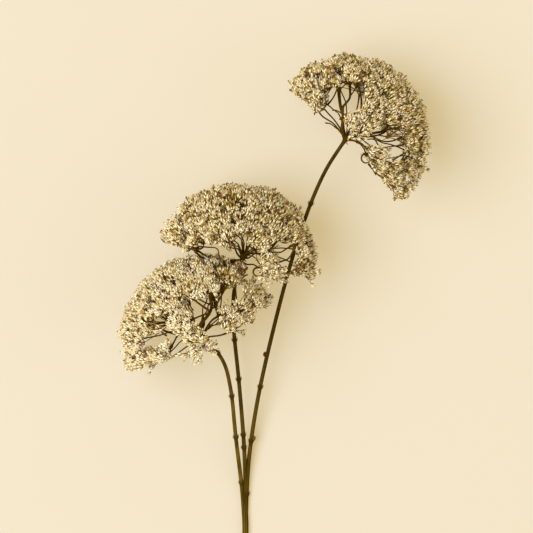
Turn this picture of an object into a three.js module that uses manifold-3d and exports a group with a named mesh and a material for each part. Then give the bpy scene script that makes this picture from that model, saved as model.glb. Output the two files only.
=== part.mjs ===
// A cut spray of dried Queen Anne's lace, laid on its side: one stem that forks into three branches,
// each ending in a domed compound umbel. Millimetres, +Z up, the surface it lies on is z = 0.
// The origin is on the flat spot under the main stem, where it rests, and +Y runs up the stem.

import * as THREE from "three";
import { mergeVertices } from "three/addons/utils/BufferGeometryUtils.js";
import Module from "manifold-3d";

const wasm = await Module();
wasm.setup();

const V = (x, y, z) => new THREE.Vector3(x, y, z);
const DEGREE = Math.PI / 180;
const NEARLY_STRAIGHT = 0.1; // an angle in radians that counts as none
const GOLDEN_TURN = Math.PI * (3 - Math.sqrt(5)); // the turn from one ray to the next, as plants grow them
const GAP = 0.3; // between pieces that rest on each other
const CLEARANCE = 0.4; // left at least between florets and what they might touch
const BALL_STEP = 2; // between the balls that keep room along a branch or a ray
const MERGE_DISTANCE = 1e-4; // corners closer than this are one corner
const FINEST_DETAIL = 0.05; // slivers thinner than this, left by joining, are dropped
const SOFT_FLOOR = 6; // what would sink below the surface settles within this height of it

// The main stem
const MAIN_RADIUS = 2.1;
const MAIN_SIDES = 8;
const MAIN_FLAT = MAIN_RADIUS * Math.cos(Math.PI / MAIN_SIDES); // from its axis to its flat sides
const CUT_END_Y = -30;
const FORK_Y = 52; // where the branches have left the main stem

// The branches
const BRANCH_RADIUS = 1.55;
const BRANCH_SIDES = 6;
const BRANCH_STRETCH = 18; // length of one straight stretch
const BRANCH_TAPER = 0.16; // share of its radius that a branch loses on its way
const BRANCH_RISE = 1.15; // how late a branch leaves the surface: 1 is a straight ramp
const JOINT_SWELL = 1.3; // a stem joint's radius over the branch's own
const JOINT_HALF = 2.4; // half a joint's length

// The umbels
const HUB_RADIUS = 2.7;
const HUB_TOP_RADIUS = 1.6;
const HUB_LENGTH = 6.4;
const HUB_SIDES = 7;
const RAYS = 11; // in a dome, besides the rays that stray from it
const RAY_REACH = 28; // from the hub's middle to a ray's end
const RAY_RADIUS = 1.1;
const RAY_SIDES = 4;
const RAY_STATIONS = [[0, 1.2], [0.35, 1.05], [0.7, 0.95], [1, 0.95]]; // share of the way, of the radius
const RAY_LIFT = 5; // how far a ray first follows the umbel's axis
const RAY_BEND = 0.42; // where along its length a ray bends over
const TUFTS = 36; // in a dome, shared among its umbellets
const TUFT_CORE = 2.4;
const TUFT_SHARE = 0.69; // how far out to the dome's surface a tuft's core sits
const TUFT_SHIFT = 20; // degrees between the spiral of the rays and that of the tufts
const FRONT_SQUEEZE = 0.16; // rays that point up keep to this much less of the rim's tilt
const BACK_SQUEEZE = 0.36; // and rays that point down, towards the surface, to this much less
const STRAY_FAN = 12 * DEGREE; // from a stray ray to either of its two tufts
const COLLAR_SIDES = 4; // of the small collar where an umbellet's raylets part
const COLLAR_LENGTH = 4.6;
const COLLAR_PROFILE = [[0, 0.95], [0.5, 1.9], [1, 0.6]]; // share of its length, share of the ray's radius
const RAYLET_ROOM = 1.6; // radius kept clear round a raylet
const RAYLET_WAIST_PLACE = 0.55; // on the way from its foot to its tuft
const RAYLET_WAIST = 0.62; // its width over that of a face of the tuft's core
const RAYLET_FOOT = 0.55;

// The florets, fewer and larger than life
const FLORET_RADIUS = 2.6;
const FLORET_SHOULDER = 0.7; // where along its length a floret is widest
const FLORET_ROOM = [[0.3, 0.63], [0.5, 0.81], [0.7, 1], [0.85, 0.6], [1, 0.3]]; // share of length, of radius
const FLORET_FAN = 0.62; // a floret leans this share of its own face's angle
const FLORET_LIMIT = 80 * DEGREE; // faces of the core within this angle carry a floret
const FLORET_JITTER = 4 * DEGREE;
const LENGTH_JITTER = 0.09;
const RIM_SHORTER = 0.12; // how much shorter a tuft's outermost florets are
const FLORET_TRIES = [1, 0.84, 0.7]; // a floret without room is made shorter, and left out at last

// route: the branch's way to the hub, seen from above. joints: stem joints, as shares of that way.
// axisTurn and axisLean: where the umbel's axis points, in degrees from +X and up from the surface.
// reach: from the hub to the dome's surface along that axis, to either side of it, and up or down.
// rimTilt: from the axis to the outermost tufts, in degrees. firstTurn: where the spiral of rays starts.
// strays: rays outside the dome, as [turn, lean] in degrees.
// openings: where no tuft grows, as [turn, lean, half its width] in degrees.
const HEADS = [
  {
    name: "top",
    route: [
      [0, 22], [0.9, 55], [2.8, 82], [9, 123], [19.9, 172], [33.3, 222.5], [46.2, 261], [57.1, 285], [70, 305],
    ],
    joints: [0.13, 0.26, 0.4, 0.56, 0.82],
    hubHeight: 47,
    axisTurn: 45,
    axisLean: 0,
    reach: { top: 61, left: 57, right: 60, depth: 58 },
    rimTilt: 82,
    firstTurn: 40,
    strays: [[20, 76], [-36, 54]],
    openings: [[-9, 50, 15], [-9, -43, 15], [97, 48, 10]],
    seed: 11,
  },
  {
    name: "middle",
    route: [[0, 20], [0.1, 60], [-1.1, 92], [-4.6, 137], [-8.1, 175], [-7.6, 200], [-1.4, 223]],
    joints: [0.22, 0.36, 0.6, 0.78],
    hubHeight: 46,
    axisTurn: 78,
    axisLean: 0,
    reach: { top: 52, left: 60, right: 51, depth: 56 },
    rimTilt: 88,
    firstTurn: 10,
    strays: [[0, 66], [-30, 56], [-8, 20], [138, 66], [42, 64]],
    openings: [],
    seed: 23,
  },
  {
    name: "low",
    route: [[0, 18], [-2, 53], [-6.7, 95], [-10.4, 131], [-15.5, 150], [-29, 168]],
    joints: [0.24, 0.4, 0.58, 0.74],
    hubHeight: 40,
    axisTurn: 120,
    axisLean: 12,
    reach: { top: 57.5, left: 59.5, right: 56, depth: 57 },
    rimTilt: 84,
    firstTurn: 75,
    strays: [[-80, 82], [36, 10], [28, 38], [33, 56], [206, 47]],
    openings: [[181, 56, 8], [80, 64, 10], [53, 20, 20], [44, 43, 10]],
    seed: 37,
  },
];

const STEM_FINISH = new THREE.MeshStandardMaterial({ color: 0x6b5c33, roughness: 0.7, metalness: 0 });
const RAY_FINISH = new THREE.MeshStandardMaterial({ color: 0x4e4022, roughness: 0.75, metalness: 0 });
const FLORET_FINISH = new THREE.MeshStandardMaterial({ color: 0xd6caa2, roughness: 0.85, metalness: 0 });

// The same numbers on every run, from 0 to 1.
function seededDraws(seed) {
  let state = seed;
  return () => {
    state = (state * 16807) % 2147483647;
    return state / 2147483647;
  };
}

// The direction turned from +X and leaning up from the surface, both in degrees.
function pointing(turn, lean) {
  const [about, up] = [turn * DEGREE, lean * DEGREE];
  return V(Math.cos(about) * Math.cos(up), Math.sin(about) * Math.cos(up), Math.sin(up));
}

function aboveSurface(point) {
  const settled = point.clone();
  if (point.z < SOFT_FLOOR) settled.z = Math.max(0, point.z + SOFT_FLOOR) ** 2 / (4 * SOFT_FLOOR);
  return settled;
}

function solidOf(geometry) {
  const plain = new THREE.BufferGeometry().setAttribute("position", geometry.getAttribute("position"));
  if (geometry.index) plain.setIndex(geometry.index);
  const merged = mergeVertices(plain, MERGE_DISTANCE);
  return new wasm.Manifold(
    new wasm.Mesh({
      numProp: 3,
      vertProperties: new Float32Array(merged.attributes.position.array),
      triVerts: new Uint32Array(merged.index.array),
    }),
  );
}

function meshOf(name, solid, finish) {
  const { vertProperties, triVerts } = solid.simplify(FINEST_DETAIL).getMesh();
  const geometry = new THREE.BufferGeometry()
    .setAttribute("position", new THREE.BufferAttribute(new Float32Array(vertProperties), 3))
    .setIndex(new THREE.BufferAttribute(triVerts, 1));
  geometry.computeVertexNormals();
  const mesh = new THREE.Mesh(geometry, finish);
  mesh.name = name;
  return mesh;
}

// A closed tube along a curve, bent from a cylinder. stations: [share of the way, radius] of each ring.
// across: a direction that the curve never runs along, which one pair of the tube's sides faces.
function tube(curve, sides, stations, across) {
  const steps = stations.length - 1;
  const geometry = new THREE.CylinderGeometry(1, 1, steps, sides, steps, false, Math.PI / sides);
  const position = geometry.getAttribute("position");
  for (let i = 0; i < position.count; i++) {
    const [share, radius] = stations[Math.round(position.getY(i) + steps / 2)];
    const along = curve.getTangentAt(share);
    const side = new THREE.Vector3().crossVectors(across, along).normalize();
    const up = new THREE.Vector3().crossVectors(along, side);
    const point = curve.getPointAt(share)
      .addScaledVector(up, radius * position.getX(i))
      .addScaledVector(side, radius * position.getZ(i));
    position.setXYZ(i, point.x, point.y, Math.max(0, point.z));
  }
  return solidOf(geometry);
}

// A turned piece, its profile given as [distance along, radius], stood on a point along a direction.
function turned(profile, sides, point, direction) {
  const outline = [[profile[0][0], 0], ...profile, [profile[profile.length - 1][0], 0]];
  const corners = outline.map(([along, radius]) => new THREE.Vector2(radius, along));
  const lathe = new THREE.LatheGeometry(corners, sides);
  lathe.applyQuaternion(new THREE.Quaternion().setFromUnitVectors(V(0, 1, 0), direction));
  return solidOf(lathe.translate(point.x, point.y, point.z));
}

// What is in place already, as balls, so that tufts and florets keep clear of it.
const placed = [];

function keepRoom(piece, tuft, balls) {
  balls.forEach((ball) => placed.push({ piece, tuft, ...ball }));
}

function isClear(balls, isOwn) {
  return balls.every(({ centre, radius }) =>
    placed.every((other) => isOwn(other)
      || other.centre.distanceTo(centre) > other.radius + radius + CLEARANCE));
}

function ballsAlong(curve, radius) {
  const count = Math.ceil(curve.getLength() / BALL_STEP);
  return curve.getSpacedPoints(count).map((centre) => ({ centre, radius }));
}

// The stem: the main stem and its three branches, as one piece

function branchCurve(head) {
  const hub = head.hub;
  const points = head.route.map(([x, y]) => {
    const share = Math.max(0, (y - FORK_Y) / (hub.y - FORK_Y));
    return V(x, y, MAIN_FLAT + (hub.z - MAIN_FLAT) * share ** BRANCH_RISE);
  });
  const arrival = new THREE.CatmullRomCurve3(points, false, "centripetal").getTangentAt(1);
  points[points.length - 1].addScaledVector(arrival, -HUB_LENGTH / 2 - GAP);
  return new THREE.CatmullRomCurve3(points, false, "centripetal");
}

function branchSolid(head) {
  const length = head.branch.getLength();
  const stretches = Math.round(length / BRANCH_STRETCH);
  const half = JOINT_HALF / length;
  const radiusAt = (share) => BRANCH_RADIUS * (1 - BRANCH_TAPER * share);
  const plain = Array.from({ length: stretches + 1 }, (_, i) => [i / stretches, radiusAt(i / stretches)])
    .filter(([share]) => head.joints.every((joint) => Math.abs(joint - share) > 2 * half));
  const joints = head.joints.flatMap((joint) => [
    [joint - half, radiusAt(joint)],
    [joint, radiusAt(joint) * JOINT_SWELL],
    [joint + half, radiusAt(joint)],
  ]);
  const stations = [...plain, ...joints].sort(([a], [b]) => a - b);
  return tube(head.branch, BRANCH_SIDES, stations, V(0, 0, 1));
}

function stemSolid() {
  const line = new THREE.LineCurve3(V(0, CUT_END_Y, MAIN_FLAT), V(0, FORK_Y, MAIN_FLAT));
  const main = tube(line, MAIN_SIDES, [[0, MAIN_RADIUS], [1, MAIN_RADIUS]], V(0, 0, 1));
  return HEADS.reduce((stem, head) => stem.add(branchSolid(head)), main);
}

// The plan of an umbel: its hub, its rays and its tufts of florets

function domeDirection(head, tilt, turn) {
  const squeeze = Math.sin(turn) > 0 ? FRONT_SQUEEZE : BACK_SQUEEZE;
  const squeezed = tilt * (1 - squeeze * Math.sin(turn) ** 2);
  return head.axis.clone().multiplyScalar(Math.cos(squeezed))
    .addScaledVector(head.side, Math.sin(squeezed) * Math.cos(turn))
    .addScaledVector(head.up, Math.sin(squeezed) * Math.sin(turn));
}

// Directions spread evenly over the dome, in the spiral that umbels grow in.
function spiral(head, count, firstTurn) {
  const rim = 1 - Math.cos(head.rimTilt * DEGREE);
  return Array.from({ length: count }, (_, i) => {
    const tilt = Math.acos(1 - rim * (i + 0.5) / count);
    return domeDirection(head, tilt, firstTurn * DEGREE + i * GOLDEN_TURN);
  });
}

function reachOf(head, direction) {
  const { top, left, right, depth } = head.reach;
  const across = direction.dot(head.side);
  const parts = [Math.max(0, direction.dot(head.axis)), across, direction.dot(head.up)];
  const reaches = [top, across > 0 ? right : left, depth];
  const whole = parts.reduce((sum, part) => sum + part ** 2, 0);
  return parts.reduce((sum, part, i) => sum + part ** 2 * reaches[i], 0) / whole;
}

function isOpen(head, direction) {
  return head.openings.some(([turn, lean, halfWidth]) =>
    pointing(turn, lean).angleTo(direction) < halfWidth * DEGREE);
}

function rayCurve(head, direction) {
  const bend = head.hub.clone()
    .addScaledVector(head.axis, RAY_LIFT)
    .addScaledVector(direction, RAY_REACH * RAY_BEND);
  const end = head.hub.clone().addScaledVector(direction, RAY_REACH);
  return new THREE.QuadraticBezierCurve3(head.hub.clone(), bend, end);
}

function planRays(head) {
  const turn = head.axisTurn * DEGREE;
  const last = head.route[head.route.length - 1];
  head.axis = pointing(head.axisTurn, head.axisLean);
  head.side = V(Math.sin(turn), -Math.cos(turn), 0);
  head.up = new THREE.Vector3().crossVectors(head.side, head.axis);
  head.hub = V(last[0], last[1], head.hubHeight);
  head.branch = branchCurve(head);
  head.random = seededDraws(head.seed);
  const strays = head.strays.map(([strayTurn, lean]) => pointing(strayTurn, lean));
  head.umbellets = [...spiral(head, RAYS, head.firstTurn), ...strays].map((direction, i) => ({
    name: `umbellet_${head.name}_${String(i + 1).padStart(2, "0")}`,
    direction,
    isStray: i >= RAYS,
    ray: rayCurve(head, direction),
    tufts: [],
  }));
  const rayRoom = RAY_RADIUS * RAY_STATIONS[0][1];
  keepRoom("stem", "", ballsAlong(head.branch, BRANCH_RADIUS * JOINT_SWELL));
  head.umbellets.forEach(({ ray }) => keepRoom(`rays_${head.name}`, "", ballsAlong(ray, rayRoom)));
}

function collarSeat(ray) {
  return ray.getPoint(1).addScaledVector(ray.getTangentAt(1), GAP);
}

// A tuft is planned only where its raylet and its core have room.
function planTuft(head, umbellet, outward) {
  const { name: piece, ray, tufts } = umbellet;
  const foot = collarSeat(ray).addScaledVector(ray.getTangentAt(1), COLLAR_LENGTH / 2);
  const heart = aboveSurface(head.hub.clone().addScaledVector(outward, reachOf(head, outward) * TUFT_SHARE));
  const raylet = [0.25, 0.5, 0.75].map((share) => foot.clone().lerp(heart, share));
  const balls = raylet.map((centre) => ({ centre, radius: RAYLET_ROOM }));
  balls.push({ centre: heart, radius: TUFT_CORE });
  if (!isClear(balls, (other) => other.piece === piece)) return;
  const name = `${piece}.${tufts.length}`;
  keepRoom(piece, name, balls);
  tufts.push({ name, foot, heart, outward });
}

function planTufts(head) {
  head.umbellets.filter(({ isStray }) => isStray).forEach((umbellet) => {
    [-STRAY_FAN, STRAY_FAN].forEach((fan) => {
      planTuft(head, umbellet, umbellet.direction.clone().applyAxisAngle(head.axis, fan));
    });
  });
  const dome = spiral(head, TUFTS, head.firstTurn + TUFT_SHIFT);
  dome.filter((outward) => !isOpen(head, outward)).forEach((outward) => {
    const nearest = head.umbellets.reduce((best, candidate) =>
      candidate.direction.angleTo(outward) < best.direction.angleTo(outward) ? candidate : best);
    planTuft(head, nearest, outward);
  });
  head.umbellets = head.umbellets.filter(({ tufts }) => tufts.length > 0);
}

// The rays of an umbel, as one piece round its hub

function raysSolid(head) {
  const along = head.branch.getTangentAt(1);
  const foot = head.hub.clone().addScaledVector(along, -HUB_LENGTH / 2);
  const stalk = BRANCH_RADIUS * (1 - BRANCH_TAPER);
  const profile = [[0, stalk], [HUB_LENGTH / 2, HUB_RADIUS], [HUB_LENGTH, HUB_TOP_RADIUS]];
  const stations = RAY_STATIONS.map(([share, width]) => [share, RAY_RADIUS * width]);
  return head.umbellets.reduce((rays, { ray, direction }) => {
    const across = new THREE.Vector3().crossVectors(head.axis, direction);
    return rays.add(tube(ray, RAY_SIDES, stations, across));
  }, turned(profile, HUB_SIDES, foot, along));
}

// The florets

// Where a floret reaches, as balls from its narrow foot over its shoulder to its tip.
function floretRoom(heart, direction, length) {
  return FLORET_ROOM.map(([share, width]) => ({
    centre: aboveSurface(heart.clone().addScaledVector(direction, length * share)),
    radius: FLORET_RADIUS * width,
  }));
}

// A tuft's core: its twenty faces, each as three corners round the core's own middle. One faces outward.
function coreFaces(outward, spin) {
  const position = new THREE.IcosahedronGeometry(TUFT_CORE, 0).getAttribute("position");
  const corners = Array.from({ length: position.count }, (_, i) =>
    new THREE.Vector3().fromBufferAttribute(position, i));
  const faces = [];
  for (let i = 0; i < corners.length; i += 3) faces.push(corners.slice(i, i + 3));
  const stand = new THREE.Quaternion().setFromUnitVectors(middleOf(faces[0]).normalize(), outward);
  const turn = new THREE.Quaternion().setFromAxisAngle(outward, spin);
  corners.forEach((corner) => corner.applyQuaternion(stand).applyQuaternion(turn));
  return faces;
}

function middleOf([a, b, c]) {
  return a.clone().add(b).add(c).divideScalar(3);
}

// The length and direction of the floret on a core face, or undefined where it has no room.
function planFloret(head, umbellet, tuft, normal) {
  const { heart, outward } = tuft;
  const { random } = head;
  const angle = normal.angleTo(outward);
  const jitter = (random() - 0.5) * 2 * FLORET_JITTER;
  const lean = angle < NEARLY_STRAIGHT ? 0 : angle * FLORET_FAN + jitter;
  const tipOver = new THREE.Vector3().crossVectors(outward, normal).normalize();
  const direction = outward.clone().applyAxisAngle(tipOver, lean);
  const shorter = RIM_SHORTER * (angle / FLORET_LIMIT) ** 2 + (random() - 0.5) * 2 * LENGTH_JITTER;
  if (angle > FLORET_LIMIT) return undefined;
  const full = (reachOf(head, outward) - heart.distanceTo(head.hub)) * (1 - shorter);
  const length = FLORET_TRIES.map((share) => share * full)
    .find((tried) => isClear(floretRoom(heart, direction, tried), (other) => other.tuft === tuft.name));
  if (length === undefined) return undefined;
  keepRoom(umbellet.name, tuft.name, floretRoom(heart, direction, length));
  return { direction, length };
}

// A tuft: the core's face that looks back is drawn down into the raylet that carries the tuft, and
// the outer ones are each drawn out into a floret, narrow at its foot and pointed.
function tuftSolid(head, umbellet, tuft) {
  const { foot, heart, outward } = tuft;
  const surface = [];
  const addFace = (...points) => surface.push(...points.map(aboveSurface));
  const addWall = (from, to) => [0, 1, 2].forEach((i) => {
    const next = (i + 1) % 3;
    addFace(from[i], from[next], to[next]);
    addFace(from[i], to[next], to[i]);
  });

  coreFaces(outward, head.random() * 2 * Math.PI).forEach((corners) => {
    const middle = middleOf(corners);
    const normal = middle.clone().normalize();
    const arms = corners.map((corner) => corner.clone().sub(middle));
    const base = corners.map((corner) => corner.clone().add(heart));
    if (normal.angleTo(outward) > Math.PI - NEARLY_STRAIGHT) {
      const ringAt = (centre, scale) => arms.map((arm) => centre.clone().addScaledVector(arm, scale));
      const waist = ringAt(foot.clone().lerp(heart, RAYLET_WAIST_PLACE), RAYLET_WAIST);
      const root = ringAt(foot, RAYLET_FOOT);
      addWall(base, waist);
      addWall(waist, root);
      addFace(...root);
      return;
    }
    const floret = planFloret(head, umbellet, tuft, normal);
    if (!floret) {
      addFace(...base);
      return;
    }
    const { direction, length } = floret;
    const straighten = new THREE.Quaternion().setFromUnitVectors(normal, direction);
    const middleOfShoulder = heart.clone().addScaledVector(direction, length * FLORET_SHOULDER);
    const shoulder = arms.map((arm) =>
      arm.clone().applyQuaternion(straighten).setLength(FLORET_RADIUS).add(middleOfShoulder));
    const tip = heart.clone().addScaledVector(direction, length);
    addWall(base, shoulder);
    [0, 1, 2].forEach((i) => addFace(shoulder[i], shoulder[(i + 1) % 3], tip));
  });
  return solidOf(new THREE.BufferGeometry().setFromPoints(surface));
}

// An umbellet: the tufts of one ray and the collar that carries them, as one piece
function umbelletSolid(head, umbellet) {
  const { ray, tufts } = umbellet;
  const profile = COLLAR_PROFILE.map(([share, width]) => [COLLAR_LENGTH * share, RAY_RADIUS * width]);
  const collar = turned(profile, COLLAR_SIDES, collarSeat(ray), ray.getTangentAt(1));
  return tufts.reduce((solid, tuft) => solid.add(tuftSolid(head, umbellet, tuft)), collar);
}

const spray = new THREE.Group();
HEADS.forEach(planRays);
HEADS.forEach(planTufts);
spray.add(meshOf("stem", stemSolid(), STEM_FINISH));
HEADS.forEach((head) => spray.add(meshOf(`rays_${head.name}`, raysSolid(head), RAY_FINISH)));
HEADS.forEach((head) => head.umbellets.forEach((umbellet) => {
  spray.add(meshOf(umbellet.name, umbelletSolid(head, umbellet), FLORET_FINISH));
}));

export default spray;
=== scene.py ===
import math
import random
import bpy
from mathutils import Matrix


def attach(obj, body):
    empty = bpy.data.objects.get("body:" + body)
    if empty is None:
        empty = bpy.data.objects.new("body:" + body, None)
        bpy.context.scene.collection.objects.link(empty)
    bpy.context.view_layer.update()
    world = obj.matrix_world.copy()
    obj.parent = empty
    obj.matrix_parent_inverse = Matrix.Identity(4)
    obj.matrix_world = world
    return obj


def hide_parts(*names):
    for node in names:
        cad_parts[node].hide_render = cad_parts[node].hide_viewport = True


bl_info = {
    "name": "Queen Anne's Lace Spray",
    "version": (1, 0, 0),
    "blender": (4, 5, 0),
    "location": "3D View > Sidebar > Spray",
    "description": "Grows a cut spray of dried Queen Anne's lace over its plain model",
    "category": "Mesh",
}

from dataclasses import dataclass, field

import bpy
import numpy as np
from mathutils import Matrix, Quaternion, Vector, kdtree, noise

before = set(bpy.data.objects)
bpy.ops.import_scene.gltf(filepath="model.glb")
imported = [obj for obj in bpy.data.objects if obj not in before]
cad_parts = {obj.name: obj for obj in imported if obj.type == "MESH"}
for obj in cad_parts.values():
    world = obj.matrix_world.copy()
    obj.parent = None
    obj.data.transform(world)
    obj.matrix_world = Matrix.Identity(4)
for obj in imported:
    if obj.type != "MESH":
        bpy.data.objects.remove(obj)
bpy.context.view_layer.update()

# The plan of the plant is in millimetres, as it was laid out, and becomes metres in the meshes.
MM = 0.001
UP = Vector((0, 0, 1))
GOLDEN_TURN = math.pi * (3 - math.sqrt(5))
MAIN_HEIGHT = 1.94  # height of the main stem's axis over the surface
CUT_END_Y = -30
FORK_Y = 52
BRANCH_RISE = 1.15  # the power with which a branch rises from the fork to its hub
HUB_LENGTH = 6.4
RAYS = 11  # in an umbel's spiral
RAY_REACH = 28  # from the hub to a ray's end
RAY_LIFT = 8  # how far along the axis a ray's bend lies from the hub,
RAY_BEND = 0.36  # and how far along the ray, as a share of its reach
TUFTS = 36  # in an umbel's spiral, before any are left out
TUFT_CORE = 2.4  # a tuft is kept if its heart is nearer than this to its umbellet's plain surface
TUFT_SHARE = 0.69  # of the way from the hub to the dome's surface, where its heart lies
TUFT_SHIFT = 20  # from the rays' spiral to the tufts', in degrees
FRONT_SQUEEZE = 0.16  # how much the upper half of a spiral is flattened, and the lower half
BACK_SQUEEZE = 0.36
STRAY_FAN = math.radians(12)  # from a stray ray to each of its two tufts
COLLAR_SEAT = 0.3  # the plain model's collar at a ray's end
COLLAR_LENGTH = 4.6
KNOT_ENDS = (-2, COLLAR_LENGTH)  # of a ray's knot, from the ray's end
SOFT_FLOOR = 6  # whatever is lower than this is eased up, more so the lower it is
MAX_HEIGHT = 100.5
LOOSE_DEPTH = 7  # from a loose tuft's heart back to its own knot
LOOSE_SPREAD = 80
LOOSE_ROOM = 12
LOOSE_BEND = 0.6  # how far along a loose tuft's stalk it bends
LONGEST_RAY = 42
OVERREACH = 1.13  # how far past the plain dome the florets may stand, within the masses
RIM_START, RIM_END = 0.45, 0.8  # where an umbel's rim begins and is full, as shares of how far it reaches
WAVE_STEP, WAVE_ROW = 0.45, 3.7  # how far apart in the noise a path's points are, and one path from the next
NOISE_SEED = 3  # without it the noise's vectors would differ from one session to the next

noise.seed_set(NOISE_SEED)


# ------------------------------------------------------------------ the plan: routes, rays and tufts


def pointing(turn, lean):
    """The direction that is turned from +X in the surface's plane and leans up from it, in degrees."""
    turn, lean = math.radians(turn), math.radians(lean)
    return Vector((math.cos(turn) * math.cos(lean), math.sin(turn) * math.cos(lean), math.sin(lean)))


def above_surface(point, margin=0.0):
    """What would sink below the surface settles on it instead, no lower than the margin."""
    z = point.z
    if z < SOFT_FLOOR:
        z = max(0.0, z + SOFT_FLOOR) ** 2 / (4 * SOFT_FLOOR)
    return Vector((point.x, point.y, max(z, margin)))


def tilted(direction, tilt, turn):
    """A direction at that tilt from another one, turned about it."""
    across = direction.orthogonal().normalized()
    across.rotate(Quaternion(direction, turn))
    return (direction * math.cos(tilt) + across * math.sin(tilt)).normalized()


def smooth_path(points, steps):
    """A centripetal Catmull-Rom curve through the points, as that many steps to a span."""
    ends = [2 * points[0] - points[1], *points, 2 * points[-1] - points[-2]]
    path = []
    for a, b, c, d in zip(ends, ends[1:], ends[2:], ends[3:]):
        before, here, after = (math.sqrt((q - p).length) for p, q in ((a, b), (b, c), (c, d)))
        leave = ((b - a) / before - (c - a) / (before + here) + (c - b) / here) * here
        arrive = ((c - b) / here - (d - b) / (here + after) + (d - c) / after) * here
        for i in range(steps):
            t = i / steps
            path.append(
                b * (2 * t**3 - 3 * t**2 + 1)
                + leave * (t**3 - 2 * t**2 + t)
                + c * (3 * t**2 - 2 * t**3)
                + arrive * (t**3 - t**2)
            )
    return [*path, points[-1]]


def bezier(start, bend, end, steps):
    """A quadratic Bezier curve as a list of points."""
    shares = [i / steps for i in range(steps + 1)]
    return [start * (1 - t) ** 2 + bend * (2 * t * (1 - t)) + end * t**2 for t in shares]


def wavering(points, amount, seed):
    """The same path with the small bends that a dried stalk has, its two ends kept."""
    last = len(points) - 1
    path = []
    for i, point in enumerate(points):
        bend = noise.noise_vector(Vector((i * WAVE_STEP, seed * WAVE_ROW, 0)))
        path.append(point + bend * amount * math.sin(math.pi * i / last))
    return path


def is_inside(x, y, outline):
    """Whether the point is within the closed outline."""
    inside = False
    for (x1, y1), (x2, y2) in zip(outline, outline[1:] + outline[:1]):
        if (y1 > y) != (y2 > y) and x < x1 + (y - y1) / (y2 - y1) * (x2 - x1):
            inside = not inside
    return inside


@dataclass
class Tuft:
    """A tuft of florets: the raylet's foot and heart, and the way it faces."""

    foot: Vector
    heart: Vector
    outward: Vector
    stalk: list = field(default_factory=list)
    spread: float = 46  # how far its clusters lean from the way it faces, in degrees
    room: float = 99  # how far from its heart its florets may stand


@dataclass
class Umbellet:
    """What one ray carries."""

    name: str
    direction: Vector
    ray: list
    tufts: list = field(default_factory=list)


@dataclass
class Reach:
    """How far it is from the hub to the dome's surface: along the axis, to either side, and up or down."""

    top: float
    left: float
    right: float
    depth: float


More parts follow.
